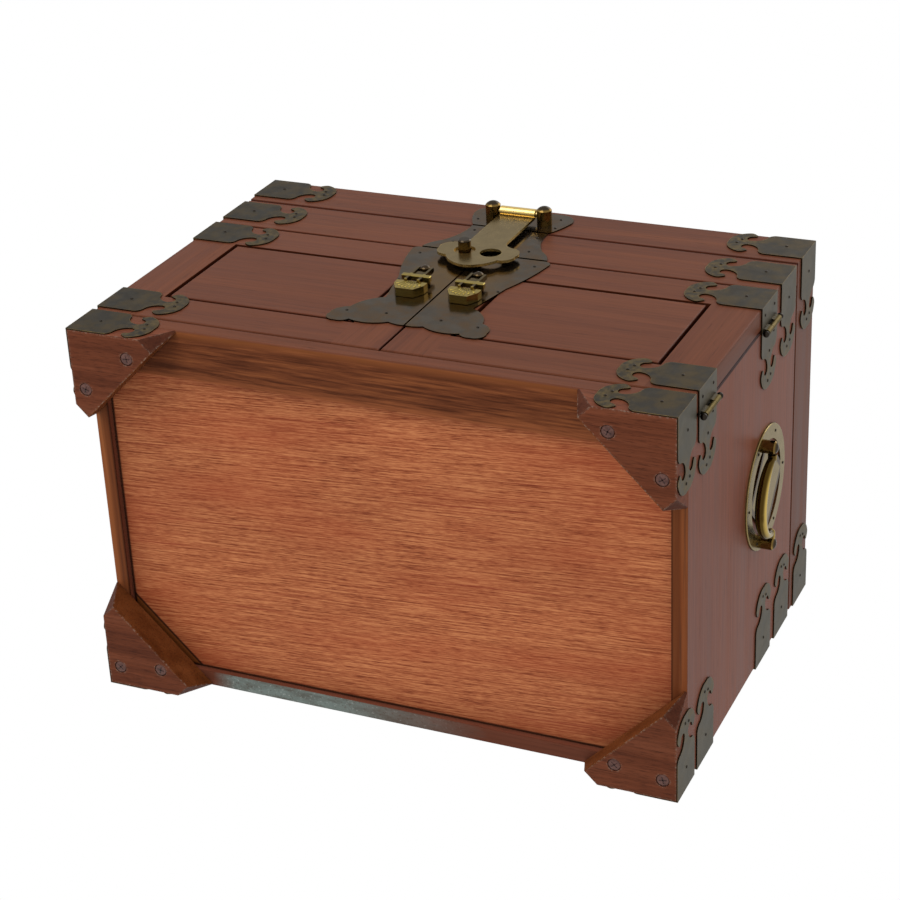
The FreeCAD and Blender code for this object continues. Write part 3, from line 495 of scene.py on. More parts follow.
def cut_corner(tree, colour, streak, fibre):
    """The feet's inner walls, sawn across the corner and left more orange, painted shade on their tips, and
    their scuffed grey arrises.
    """
    from_front, from_side, height = inward(tree)
    from_face = nearer_face(tree, from_front)
    raw = blend(tree, rise(tree, streak, *FOOT_RAW_SPAN), *FOOT_RAW_SHADES)
    colour = blend(tree, rise(tree, plus(tree, from_face, from_side), *FOOT_INNER), colour, raw)
    tip_start = between(tree, height, 0, FOOT_HEIGHT, FOOT_LEG - TIP_SLOPE, FOOT_LEG - TIP_LAND)
    tip = minus(tree, apart(tree, from_face, from_side), tip_start)
    colour = tint_high(tree, colour, tip, *FOOT_TIP_SHADE)
    colour = tint_high(tree, colour, streaks(tree, *FOOT_FLECK), *FOOT_FLECK_STAIN)
    chips = between(tree, cloud(tree, *SCUFF_CHIP), *SCUFF_SPAN)
    scuff = times(tree, edge_wear_and_glint(tree, SCUFF_RADIUS), chips)
    scuff = times(tree, scuff, fall(tree, height, *SCUFF_HEIGHT))
    return blend(tree, scuff, colour, SCUFF_GREY)


# Lower edge of the back panel
BACK_EDGE_BROWN = tint(78, 42, 28)
BACK_EDGE_MOST = 0.45
CHALK_BLOT = ((60, 220, 220), 4.0, 0.6)
CHALK_SPECK = (900, 3.0, 0.6)
CHALK_WANDER = 40 * MM
CHALK_END = fade(-25, 50)
CHALK_OFF_FOOT = fade(0, 12, plane=FOOT_LEG)
CHALK_SPAN = (0.35, 0.62)
CHALK_SHADES = (tint(90, 94, 87), tint(118, 132, 127))
CHALK_DARK_SPECK = (tint(74, 52, 40), 0.58, 0.7, 0.6)
CHALK_PALE_SPECK = (tint(186, 190, 184), 0.3, 0.4, 0.6)
CHALK_MOST = 0.88


def chalky_edge(tree, colour, streak, fibre):
    """The back panel's lower edge, rubbed grey-green from the left foot to past the middle."""
    _, from_side, height = inward(tree)
    across = place_of(tree)[0]
    blot = streaks(tree, *CHALK_BLOT)
    speck = cloud(tree, *CHALK_SPECK)
    low = fall(tree, height, *UNDERSIDE)
    colour = blend(tree, times(tree, low, BACK_EDGE_MOST), colour, BACK_EDGE_BROWN)
    wander = wavering(tree, across, blot, CHALK_WANDER)
    rubbed = times(tree, fall(tree, wander, *CHALK_END), rise(tree, from_side, *CHALK_OFF_FOOT))
    chalk = blend(tree, rise(tree, blot, *CHALK_SPAN), *CHALK_SHADES)
    chalk = tint_high(tree, chalk, speck, *CHALK_DARK_SPECK)
    chalk = tint_low(tree, chalk, speck, *CHALK_PALE_SPECK)
    return blend(tree, times(tree, times(tree, low, rubbed), CHALK_MOST), colour, chalk)


# Lid and door frames
OUTER_STILE = HALF_WIDTH - 24 * MM
INNER_STILE = 24.5 * MM
LID_RIM_HEIGHT = fade(0.06, 0.3, plane=LID_LOW[2])
LID_RIM_OUTER = fade(2.0, 5.0, 0.9)
# Painted shade on the lid's lower rim at the sides
LID_RIM_SHADE = tint(24, 10, 7)


def stile_share(tree):
    """1 on the upright members of a door frame, and 0 on its rails."""
    reach = unsigned(tree, place_of(tree)[0])
    return larger(tree, more_than(tree, reach, OUTER_STILE), less_than(tree, reach, INNER_STILE))


def mitre_share(tree):
    """1 on the end members of the lid's band, parted from its long ones on a mitre."""
    from_front, from_side, _ = inward(tree)
    return less_than(tree, from_side, nearer_face(tree, from_front))


def dark_rim(tree, colour, streak, fibre):
    """The lid's lower rim, darkened with painted shade where its outer part meets the sides."""
    _, from_side, height = inward(tree)
    rim = times(tree, fall(tree, height, *LID_RIM_HEIGHT), fall(tree, from_side, *LID_RIM_OUTER))
    return blend(tree, rim, colour, LID_RIM_SHADE)


# Plywood bottom
PLY_LEAN = 0.07
PLY_BROAD = ((7, 24, 24), 3.0, 0.55, 0.6)
PLY_FLECK = ((190, 2000, 2000), 2.0, 0.6)
PLY_LINE = ((34, 1400, 1400), 2.0, 0.6)
PLY_LONG_LINE = ((5, 700, 700), 2.0, 0.5, 0.0, (5, 2, 0))
PLY_RED = ((9, 44, 44), 3.0, 0.5, 0.0, (3, 7, 0))
PLY_FLECK_SHARE = 0.45
PLY_TONE = (0.37, 0.61)
PLY_TURNS = (0.0, 0.45, 1.0)
PLY_SHADES = (tint(120, 56, 31), tint(166, 92, 57), tint(200, 127, 82))
PLY_RED_STAIN = (tint(158, 70, 42), 0.45, 0.7, 0.45)
PLY_LONG_STAIN = (tint(134, 50, 34), 0.64, 0.7, 0.55)
PLY_BROAD_SPAN = (0.3, 0.7, 0.93, 1.08)
PLY_WANDER = 9 * MM
# Painted shadow of the base rail's step on the plywood
PLY_RAIL_SHADOW = (tint(100, 54, 31), *fade(1.0, 3.8, 0.15))
# Painted shade on the plywood along its open joint and back feet, and painted shadow in the joint and at the
# left back foot
PLY_BORDER_FADE = fade(1.0, 16, 0.3)
PLY_BORDER_FROM = fade(-50, 20, plane=MIDDLE)
PLY_BORDER_PAINTED_SHADE = tint(112, 46, 22)
PLY_FOOT_GAP_SHADE = (tint(28, 12, 6), *fade(0.5, 1.2, 0.92))
PLY_FOOT_LIP = (tint(112, 60, 25), *fade(-0.6, -0.2))
PLY_JOINT_SHADE = (tint(26, 11, 6), *fade(0.9, 1.7, 0.92))
# Painted shade in the plywood's corners and narrow gaps
PLY_CORNER = 6 * MM
PLY_CORNER_SHADE = tint(60, 24, 13)
PLY_CORNER_SHADE_FADES = ((0.3, 0.7, 0.08), (0.05, 0.3, 0.35))
PLY_ROUGH = (0.3, 0.7, 0.5, 0.68)
PLY_INDEX = 1.2
PLY_RELIEF = (0.12 * MM, 0.4)
FOOT_DIAGONAL = 0.7


def ply_border(tree):
    """Three distances of a point of the plywood.

    They are from the open joint along its back and left side, from the left back foot and from either of the
    back feet.
    """
    x, y, _ = place_of(tree)
    behind = minus(tree, BACK, y)
    joint = smaller(tree, minus(tree, PLY_HIGH[1], y), minus(tree, x, PLY_LOW[0]))
    from_left = plus(tree, x, HALF_WIDTH)
    from_side = minus(tree, HALF_WIDTH, unsigned(tree, x))
    left_foot, either_foot = [
        times(tree, minus(tree, plus(tree, behind, aside), FOOT_LEG), FOOT_DIAGONAL)
        for aside in (from_left, from_side)]
    return joint, left_foot, either_foot


def plywood(name):
    """Thinly stained plywood: orange-red face veneer with fine dark lines and pale flecks along the grain."""
    material, tree, shader = new_finish(name)
    x, y, z = place_of(tree)
    grain = combine(tree, x, plus(tree, y, times(tree, x, PLY_LEAN)), z)
    broad = streaks(tree, *PLY_BROAD, vector=grain)
    fleck = streaks(tree, *PLY_FLECK, vector=grain)
    line = streaks(tree, *PLY_LINE, vector=grain)
    figure = plus(tree, times(tree, fleck, PLY_FLECK_SHARE), times(tree, line, 1 - PLY_FLECK_SHARE))
    colour = three_tones(tree, between(tree, figure, *PLY_TONE), PLY_TURNS, PLY_SHADES)
    colour = tint_high(tree, colour, streaks(tree, *PLY_RED, vector=grain), *PLY_RED_STAIN)
    colour = tint_high(tree, colour, streaks(tree, *PLY_LONG_LINE, vector=grain), *PLY_LONG_STAIN)
    colour = brightened(tree, colour, between(tree, broad, *PLY_BROAD_SPAN))
    # Painted shadow of the base rail's step, just behind it
    from_rail = wavering(tree, minus(tree, y, FRONT + RAIL_DEEP), line, PLY_WANDER)
    colour = tint_low(tree, colour, from_rail, *PLY_RAIL_SHADOW)
    joint, left_foot, either_foot = ply_border(tree)
    # Painted shade along the open joint and the back feet, in the back half
    border = fall(tree, smaller(tree, joint, either_foot), *PLY_BORDER_FADE)
    border = times(tree, border, rise(tree, y, *PLY_BORDER_FROM))
    colour = blend(tree, border, colour, PLY_BORDER_PAINTED_SHADE)
    # Painted shadow in the gap at the left back foot
    colour = tint_low(tree, colour, left_foot, *PLY_FOOT_GAP_SHADE)
    colour = tint_low(tree, colour, left_foot, *PLY_FOOT_LIP)
    # Painted shadow in the open joint along the back and the left side
    colour = tint_low(tree, colour, joint, *PLY_JOINT_SHADE)
    # Painted shade darkens the plywood in its corners
    colour = darken(tree, colour, open_sky(tree, PLY_CORNER), PLY_CORNER_SHADE_FADES, PLY_CORNER_SHADE)
    surface(tree, shader, colour, between(tree, fleck, *PLY_ROUGH), figure, PLY_RELIEF)
    shader.inputs["IOR"].default_value = PLY_INDEX
    return material


# Brass
BRASS_MOTTLE = (130, 5.0, 0.6, 0.4)
BRASS_SPECK = (1400, 3.0, 0.6)
BRASS_PATCH = ((170, 170, 170), 2.0, 0.5, 0.0, (4, 9, 2))
BRASS_BRUSH = ((60, 1500, 1500), 2.0, 0.5)
BRASS_DRIFT = ((95, 95, 95), 3.0, 0.6, 0.0, (7, 3, 5))
MOTTLE_SPAN = (0.3, 0.66)
DRIFT_FADE = (0.42, 0.62, 0.85)
SPECK_FADE = (0.28, 0.5, 0.3)
BRUSH_FADE = (0.55, 0.75, 0.3)
BARE_SPAN = 0.2
BARE_MOST = 0.6
RUB_GLINT_SPECK = (0.3, 0.55)
RUB_GLINT_PATCH = (0.42, 0.58, 0.35, 1.0)
RUB_GLINT_RADIUS = 0.4 * MM
# Painted shade in the brass's corners and narrow gaps
BRASS_CORNER = 2.5 * MM
BRASS_CORNER_SHADE = tint(24, 18, 12)
BRASS_CORNER_SHADE_FADES = ((0.3, 0.7, 0.35), (0.05, 0.3, 0.7))
BRASS_ROUGH_SPAN = (0.3, 1.2)
BRASS_METAL = 0.94
LOW_GLARE = 0.62
BRUSH_RELIEF = 0.2
BRASS_RELIEF = (0.06 * MM, 0.3)


def patinated_brass(name, patina, brass, rough, bare_from, edge, local=(), depth=0.68, stain=None):
    """Sheet brass under a thin mottled patina, rubbed bright along stretches of its arrises, which also
    serves as painted highlights.

    rough is its least and most roughness, bare_from where the mottling starts to show bare metal, and edge
    how bright the arrises are. local gives shares, worked out in the same tree, that are kept bright or dark,
    each with its colour. depth is how dark the mottling gets, and stain a second tone of the patina in soft
    patches.
    """
    material, tree, shader = new_finish(name)
    mottle = cloud(tree, *BRASS_MOTTLE)
    speck = cloud(tree, *BRASS_SPECK)
    patch = streaks(tree, *BRASS_PATCH)
    brushed = streaks(tree, *BRASS_BRUSH)
    deep = (*[depth * part for part in patina[:3]], 1.0)
    coat = blend(tree, rise(tree, mottle, *MOTTLE_SPAN), deep, patina)
    if stain:
        coat = tint_high(tree, coat, streaks(tree, *BRASS_DRIFT), stain, *DRIFT_FADE)
    coat = tint_low(tree, coat, speck, deep, *SPECK_FADE)
    coat = tint_high(tree, coat, brushed, deep, *BRUSH_FADE)
    thin = rise(tree, mottle, bare_from, bare_from + BARE_SPAN, BARE_MOST)
    # Worn bright arrises, partly painted highlights
    rub = times(tree, between(tree, speck, *RUB_GLINT_SPECK, 0.5 * edge, edge), between(tree, patch, *RUB_GLINT_PATCH))
    bare = larger(tree, thin, times(tree, edge_wear_and_glint(tree, RUB_GLINT_RADIUS), rub))
    colour = blend(tree, bare, coat, brass)
    # Painted shade darkens the brass in its corners
    colour = darken(tree, colour, open_sky(tree, BRASS_CORNER), BRASS_CORNER_SHADE_FADES, BRASS_CORNER_SHADE)
    for share_of, shade in local:
        colour = blend(tree, share_of(tree), colour, shade)
    smoothest, roughest = rough
    surface(tree, shader, colour,
            between(tree, plus(tree, bare, mottle), *BRASS_ROUGH_SPAN, roughest, smoothest),
            minus(tree, mottle, times(tree, brushed, BRUSH_RELIEF)), BRASS_RELIEF)
    shader.inputs["Metallic"].default_value = BRASS_METAL
    shader.inputs["Specular Tint"].default_value = (LOW_GLARE, LOW_GLARE, LOW_GLARE, 1.0)
    return material


# Mounts and door hinges
SHEET_WALL = fade(0.45, 0.62, 0.8)
BARREL_RADIUS = 1.4 * MM
BARREL_FADE = fade(0.06, 0.3, plane=BARREL_RADIUS)
HINGE_X = HALF_WIDTH + 2.4 * MM
HINGE_Y = DOOR_HIGH[1] + 1.95 * MM
HOOK_PATCH = (330, 4.0, 0.65)
HOOK_PATCH_FADE = (0.44, 0.64, 0.6)
HOOK_FROM = fade(20, 30)
SIDE_FACE = fade(0.6, 0.66, 0.5, HALF_WIDTH)


def sheet_wall(tree):
    """1 on the cut edges of the sheet brass on the front and sides, under its outer faces, where painted
    shade darkens them.
    """
    x, y, _ = place_of(tree)
    proud_side = minus(tree, unsigned(tree, x), HALF_WIDTH)
    proud = larger(tree, minus(tree, FRONT, y), larger(tree, proud_side, minus(tree, y, BACK)))
    return fall(tree, proud, *SHEET_WALL)


def barrel_share(tree):
    """1 on the knuckles of the door hinges, which stay brighter."""
    x, y, _ = place_of(tree)
    off_x = minus(tree, unsigned(tree, x), HINGE_X)
    return fall(tree, distance(tree, off_x, minus(tree, y, HINGE_Y)), *BARREL_FADE)


def leaf_wall(tree):
    """1 on the cut edges of the hinge leaves, which take painted shade, and 0 on their knuckles."""
    return times(tree, sheet_wall(tree), rest_of(tree, barrel_share(tree)))


def hook_rub_and_glint_share(tree):
    """Patches of rubbed brown brass on the hooked heads of the mounts, which also paint glints there."""
    from_front, from_side, _ = inward(tree)
    along = larger(tree, from_side, nearer_face(tree, from_front))
    patch = cloud(tree, *HOOK_PATCH)
    return times(tree, rise(tree, along, *HOOK_FROM), rise(tree, patch, *HOOK_PATCH_FADE))


def side_face_lit_share(tree):
    """1 on the outer faces of the brass on the chest's sides, painted greyer and lighter as a lit side."""
    return rise(tree, unsigned(tree, place_of(tree)[0]), *SIDE_FACE)


# Posts, hasp and bails
HASP_POST_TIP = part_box("hasp_posts")[0][1]
HANDLE_POST_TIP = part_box("handle_posts_right")[1][0]
STUD_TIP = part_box("pull_stud_right")[0][1]
HASP_CAP = fade(0.9, 1.5, 0.92, HASP_POST_TIP)
HANDLE_CAP = fade(-1.3, -0.7, 0.92, HANDLE_POST_TIP)
STUD_CAP = fade(0.9, 1.4, 0.9, STUD_TIP)
STUD_HEIGHT = fade(-20, -15, plane=DOOR_HIGH[2])
HASP_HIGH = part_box("hasp")[1]
HASP_THICK = 1.4 * MM
HASP_ROLL = fade(-5.3, -4.9, 0.85, HASP_HIGH[2])
HASP_WALL_START = fade(0.1, 0.2)
HASP_WALL_END = fade(-0.25, -0.1, plane=HASP_THICK)
HASP_WALL_MOST = 0.8
BAIL_LOW, BAIL_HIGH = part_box("handle_bail_right")
BAIL_MIDDLE = (BAIL_LOW[1] + BAIL_HIGH[1]) / 2
BAIL_HIGHLIGHT_FADE = fade(-1.5, -0.25, 0.95, BAIL_HIGH[0])
BAIL_PATCH = (120, 3.0, 0.55)
BAIL_WANDER = 18 * MM
BAIL_FRONT = fade(1, 5, 0.8, BAIL_MIDDLE)
BAIL_INNER = fade(-1.1, -0.5, plane=BAIL_HIGH[0])


def post_cap_share(tree):
    """1 on the domed ends of the posts, which keep a black patina."""
    x, y, z = place_of(tree)
    hasp_cap = fall(tree, y, *HASP_CAP)
    handle_cap = rise(tree, unsigned(tree, x), *HANDLE_CAP)
    stud_cap = times(tree, fall(tree, y, *STUD_CAP), fall(tree, z, *STUD_HEIGHT))
    return larger(tree, hasp_cap, larger(tree, handle_cap, stud_cap))


def hasp_highlight_share(tree):
    """1 on the hasp's rolled top and on its cut edges, where a painted highlight lies."""
    _, y, z = place_of(tree)
    into = minus(tree, HASP_HIGH[1], y)
    wall = times(tree, rise(tree, into, *HASP_WALL_START), fall(tree, into, *HASP_WALL_END))
    return larger(tree, rise(tree, z, *HASP_ROLL), times(tree, wall, HASP_WALL_MOST))


def bail_highlight_share(tree):
    """1 on the outer side of the bails, where a painted highlight runs along them."""
    return rise(tree, unsigned(tree, place_of(tree)[0]), *BAIL_HIGHLIGHT_FADE)


def bail_dark_reflection_share(tree):
    """A painted dark reflection on the front half of the bails, broken up by noise."""
    x, y, _ = place_of(tree)
    wander = wavering(tree, y, cloud(tree, *BAIL_PATCH), BAIL_WANDER)
    return times(tree, fall(tree, wander, *BAIL_FRONT), fall(tree, unsigned(tree, x), *BAIL_INNER))


# Handle plates, pulls and lock plates
HANDLE_LOW, HANDLE_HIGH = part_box("handle_plate_right")
HANDLE_MIDDLE = [(low + high) / 2 for low, high in zip(HANDLE_LOW, HANDLE_HIGH)]
WINDOW_CHORD = 19.0 * MM
WINDOW_RADIUS = 24.0 * MM
WINDOW_EDGE = fade(-3.2, -2.2, 0.85, WINDOW_CHORD)
WINDOW_ROUND = fade(-0.8, -0.2, plane=WINDOW_RADIUS)
PULL_LOW, PULL_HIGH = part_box("pull_drop_right")
ARM_OVER_BAR = fade(16.4, 16.9, 0.85, PULL_LOW[2])
ARM_OVER_BODY = fade(9.7, 9.9, 0.85, PULL_LOW[2])
ARM_UNDER_BAR = fade(12.8, 13.0, plane=PULL_LOW[2])
# Painted warm reflection of the pulls and hasp on the lock plates
REFLECTION_ACROSS = 0.55
REFLECTION_UP = 0.5
REFLECTION_REACH = fade(8, 17)
REFLECTION_PATCH = (150, 4.0, 0.6)
REFLECTION_SPAN = (0.3, 0.6, 0.45, 0.9)


def window_shade_share(tree):
    """Painted shade on the handle plates along the straight edges of their four windows, making the dark
    openings look wider.
    """
    _, y, z = place_of(tree)
    aside = apart(tree, y, HANDLE_MIDDLE[1])
    up = apart(tree, z, HANDLE_MIDDLE[2])
    out = times(tree, plus(tree, aside, up), math.sqrt(0.5))
    return times(tree, rise(tree, out, *WINDOW_EDGE), fall(tree, distance(tree, aside, up), *WINDOW_ROUND))


def pull_arm_shade_share(tree):
    """1 on the two thin arms of a pull above and below its bar, darkened with painted shade."""
    height = place_of(tree)[2]
    stubs = times(tree, rise(tree, height, *ARM_OVER_BODY), fall(tree, height, *ARM_UNDER_BAR))
    return larger(tree, rise(tree, height, *ARM_OVER_BAR), stubs)


def plate_reflection_share(tree):
    """Browner metal round the two pulls and under the hasp: a painted warm reflection of their brass on the
    lock plates.
    """
    x, _, z = place_of(tree)
    up = times(tree, minus(tree, z, PULL_HIGH[2]), REFLECTION_UP)
    reach = distance(tree, times(tree, x, REFLECTION_ACROSS), up)
    patch = cloud(tree, *REFLECTION_PATCH)
    return times(tree, fall(tree, reach, *REFLECTION_REACH), between(tree, patch, *REFLECTION_SPAN))


# Mirror and screws
SMEAR = ((14, 40, 40), 4.0, 0.6, 1.0)
SMEAR_SHADES = (tint(214, 219, 219), tint(231, 235, 235))
SMEAR_ROUGH = (0.4, 0.75, 0.02, 0.12)
SCREW_STAIN = (420, 4.0, 0.6)
SCREW_STAIN_SPAN = (0.35, 0.62)
SCREW_ROUGH = (0.3, 0.7, 0.35, 0.6)
SCREW_METAL = 0.4
SCREW_RELIEF = (0.05 * MM, 0.4)


def mirror_glass(name):
    """Silvered glass with faint smears."""
    material, tree, shader = new_finish(name)
    smear = streaks(tree, *SMEAR)
    surface(tree, shader, blend(tree, smear, *SMEAR_SHADES), between(tree, smear, *SMEAR_ROUGH))
    shader.inputs["Metallic"].default_value = 1.0
    return material


def screw_metal(name, shades):
    """Plated screw steel, dulled and stained by the lacquer over it."""
    material, tree, shader = new_finish(name)
    stain = cloud(tree, *SCREW_STAIN)
    colour = blend(tree, rise(tree, stain, *SCREW_STAIN_SPAN), *shades)
    surface(tree, shader, colour, between(tree, stain, *SCREW_ROUGH), stain, SCREW_RELIEF)
    shader.inputs["Metallic"].default_value = SCREW_METAL
    return material


# Lacquers: least and most roughness, and index of refraction
LACQUER = (0.3, 0.44, 1.1)
SIDE_LACQUER = (0.32, 0.46, 1.12)
DULL = (0.5, 0.66, 1.15)

# Shades of the woods, from dark to light
FRONT_SHADES = (tint(84, 44, 29), tint(100, 57, 39), tint(112, 67, 47))
SIDE_SHADES = (tint(99, 53, 37), tint(112, 63, 46), tint(122, 72, 54))
FOOT_SHADES = (tint(80, 40, 25), tint(106, 57, 37), tint(124, 72, 50))
INNER_SHADES = (tint(112, 66, 40), tint(134, 82, 52), tint(152, 98, 64))
SCREW_SHADES = (tint(70, 39, 31), tint(102, 69, 60))
# Painted shade of the screws' cross recesses
SLOT_SHADES = (tint(46, 20, 14), tint(66, 32, 24))

# Shades of the brass
OLIVE = tint(60, 56, 49)
BROWN_OLIVE = tint(76, 64, 43)
# Painted light: the brass on the sides is lighter and greyer than on the front
SIDE_LIT_GREY = tint(104, 100, 88)
# Rubbed brass on the hooks, partly painted glints
HOOK_RUB_AND_GLINT = tint(108, 90, 54)
BARREL_BROWN = tint(82, 69, 36)
PLATE_GREY = tint(80, 72, 62)
PLATE_BROWN = tint(82, 61, 36)
# Painted warm reflection on the lock plates
PLATE_WARM_REFLECTION = tint(96, 73, 38)
HASP_OLIVE = tint(122, 105, 70)
# Painted highlight on the hasp's roll and cut edges
HASP_HIGHLIGHT = tint(218, 188, 116)
BAIL_OLIVE = tint(84, 66, 24)
# Painted highlight along the bails
BAIL_HIGHLIGHT = tint(196, 168, 90)
# Painted dark reflection on the bails
BAIL_DARK_REFLECTION = tint(66, 48, 14)
HANDLE_OLIVE = tint(142, 124, 80)
# Painted shade beside the windows of the handle plates
WINDOW_SHADE = tint(62, 42, 24)
PULL_OLIVE = tint(142, 124, 66)
# Painted shade on the pulls' arms
PULL_ARM_SHADE = tint(64, 52, 33)
RIB_OLIVE = tint(152, 134, 72)
ROD_OLIVE = tint(174, 150, 98)
ROD_BRIGHT = tint(222, 194, 128)
POST_BROWN = tint(122, 97, 50)
POST_BRIGHT = tint(184, 150, 82)
BRASS = tint(186, 150, 78)
PALE_BRASS = tint(222, 188, 108)
BLACKENED = tint(48, 42, 36)
BLACKENED_RUBBED = tint(112, 92, 58)
# Painted shade on the cut edges of the sheet brass
CUT_EDGE_SHADE = tint(30, 23, 16)

finish_front = rosewood("rosewood_front", "X", FRONT_SHADES, LACQUER, contrast=0.65, seams=True)
finish_door = rosewood("rosewood_door", "X", FRONT_SHADES, LACQUER, contrast=0.65, cross=("Z", stile_share),
                       local=dark_back_edge, seams=True)
finish_side = rosewood("rosewood_side", "Y", SIDE_SHADES, SIDE_LACQUER, contrast=0.95, local=sawn_edge)
finish_lid = rosewood("rosewood_lid", "X", FRONT_SHADES, LACQUER, contrast=0.8, cross=("Y", mitre_share),
                      local=dark_rim, seams=True)
finish_base = rosewood("rosewood_base", "X", FRONT_SHADES, DULL, contrast=0.8,
                       local=dark_underside, seams=True)
finish_foot = rosewood("rosewood_foot", "X", FOOT_SHADES, DULL, local=cut_corner)
finish_back = rosewood("rosewood_back", "X", SIDE_SHADES, DULL, contrast=0.9, local=chalky_edge)
finish_inner = rosewood("pale_inner_wood", "X", INNER_SHADES, DULL)
finish_ply = plywood("stained_plywood")
on_mounts = [(side_face_lit_share, SIDE_LIT_GREY), (hook_rub_and_glint_share, HOOK_RUB_AND_GLINT)]
finish_mount = patinated_brass("mount_brass", OLIVE, BRASS, (0.3, 0.46), bare_from=0.72, edge=0.85,
                               local=[*on_mounts, (sheet_wall, CUT_EDGE_SHADE)], depth=0.76, stain=BROWN_OLIVE)
finish_strap = patinated_brass("lid_hinge_brass", OLIVE, BRASS, (0.3, 0.46),
                               bare_from=0.74, edge=0.7, depth=0.76)
finish_hinge = patinated_brass("hinge_brass", OLIVE, BRASS, (0.25, 0.46), bare_from=0.72, edge=0.85,
                               local=[*on_mounts, (leaf_wall, CUT_EDGE_SHADE), (barrel_share, BARREL_BROWN)],
                               depth=0.76, stain=BROWN_OLIVE)
finish_plate = patinated_brass("lock_plate_brass", PLATE_GREY, BRASS, (0.06, 0.18), bare_from=0.72, edge=0.5,
                               local=[(plate_reflection_share, PLATE_WARM_REFLECTION), (sheet_wall, CUT_EDGE_SHADE)],
                               depth=0.7, stain=PLATE_BROWN)
finish_hasp = patinated_brass("hasp_brass", HASP_OLIVE, PALE_BRASS, (0.14, 0.26), bare_from=0.7, edge=0.9,
                              local=[(hasp_highlight_share, HASP_HIGHLIGHT)], depth=0.8)
finish_bail = patinated_brass("bail_brass", BAIL_OLIVE, PALE_BRASS, (0.05, 0.12), bare_from=0.74, edge=0.5,
                              local=[(bail_highlight_share, BAIL_HIGHLIGHT), (bail_dark_reflection_share, BAIL_DARK_REFLECTION)],
                              depth=0.85)
finish_handle = patinated_brass("handle_plate_brass", HANDLE_OLIVE, PALE_BRASS, (0.14, 0.28),
                                bare_from=0.66, edge=0.9,
                                local=[(window_shade_share, WINDOW_SHADE)], depth=0.85)
finish_pull = patinated_brass("pull_brass", PULL_OLIVE, PALE_BRASS, (0.12, 0.2), bare_from=0.7, edge=0.6,
                              local=[(pull_arm_shade_share, PULL_ARM_SHADE)], depth=0.9)
finish_rib = patinated_brass("pull_rib_brass", RIB_OLIVE, PALE_BRASS, (0.16, 0.26),
                             bare_from=0.7, edge=0.1, depth=0.9)
finish_bright = patinated_brass("polished_brass", ROD_OLIVE, ROD_BRIGHT, (0.1, 0.22),
                                bare_from=0.45, edge=0.5)
finish_post = patinated_brass("post_bronze", POST_BROWN, POST_BRIGHT, (0.08, 0.16), bare_from=0.6, edge=0.15,
                              local=[(post_cap_share, BLACKENED)], depth=0.7)
finish_dark = patinated_brass("blackened_brass", BLACKENED, BLACKENED_RUBBED, (0.24, 0.36),
                              bare_from=0.74, edge=0.3)
finish_mirror = mirror_glass("mirror_glass")
finish_screw = screw_metal("screw_metal", SCREW_SHADES)
# Painted shade of the cross recesses
finish_slot = screw_metal("screw_slot", SLOT_SHADES)

FINISHES = {
    "front_top_rail": finish_front, "base_rail": finish_base, "side_panel": finish_side,
    "back_panel": finish_back, "bottom_panel": finish_ply, "tray_floor": finish_inner,
    "drawer_shelf": finish_inner, "foot_": finish_foot, "foot_screws": finish_screw,
    "case_mounts": finish_mount, "lid_mounts": finish_mount, "door_hinge_leaves": finish_hinge,
    "door_mounts": finish_hinge, "door_hinge_pins": finish_dark, "lid_hinge": finish_strap,
    "lid_hinge_pins": finish_dark, "lid_frame": finish_lid, "lid_top_panel": finish_front,
    "lid_mirror": finish_mirror, "door_frame": finish_door, "door_panel": finish_front,
    "lock_plate": finish_plate, "hasp": finish_hasp, "hasp_posts": finish_post, "hasp_rod": finish_bright,
    "hasp_knob": finish_post, "pull_stud": finish_post, "pull_drop": finish_pull,
    "handle_plate": finish_handle, "handle_posts": finish_post, "handle_bail": finish_bail,
    "drawer_front": finish_front, "drawer_box": finish_inner, "drawer_bottom": finish_ply,
    "drawer_knob": finish_bright,
}


def dress(node_name, node):
    """Give a carried-over solid the finish with the longest matching name."""
    fitting = max((key for key in FINISHES if node_name.startswith(key)), key=len)
    if not node.material_slots:
        node.data.materials.append(FINISHES[fitting])
    for holder in node.material_slots:
        holder.material = FINISHES[fitting]


for node_name, node in frame["nodes"].items():
    dress(node_name, node)


# Small pieces

def finished(name, shape, material, body, smooth=True):
    """A bmesh made into a piece that rides a body."""
    bmesh.ops.recalc_face_normals(shape, faces=shape.faces)
    for face in shape.faces:
        face.smooth = smooth
    mesh = bpy.data.meshes.new(name)
    shape.to_mesh(mesh)
    shape.free()
    mesh.materials.append(material)
    piece = bpy.data.objects.new(name, mesh)
    bpy.context.scene.collection.objects.link(piece)
    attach(piece, body)
    return piece


def facing(at, outward):
    """A placing that sets local Z along an outward direction at a point."""
    return Matrix.Translation(at) @ Vector((0, 0, 1)).rotation_difference(outward).to_matrix().to_4x4()


def edges_of(shape, corners):
    """The edges of a bmesh whose two ends are both among some vertices."""
    return [edge for edge in shape.edges if edge.verts[0] in corners and edge.verts[1] in corners]


NAIL_SIZE = Matrix.Diagonal((0.8 * MM, 0.8 * MM, 0.4 * MM, 1))
NAIL_SEGMENTS = 12
NAIL_RINGS = 8


def nails(name, spots, body):
    """Low domed nail heads, each at a point on the brass and facing outwards."""
    shape = bmesh.new()
    for at, outward in spots:
        bmesh.ops.create_uvsphere(shape, u_segments=NAIL_SEGMENTS, v_segments=NAIL_RINGS, radius=1,
                                  matrix=facing(at, outward) @ NAIL_SIZE)
    return finished(name, shape, finish_dark, body)


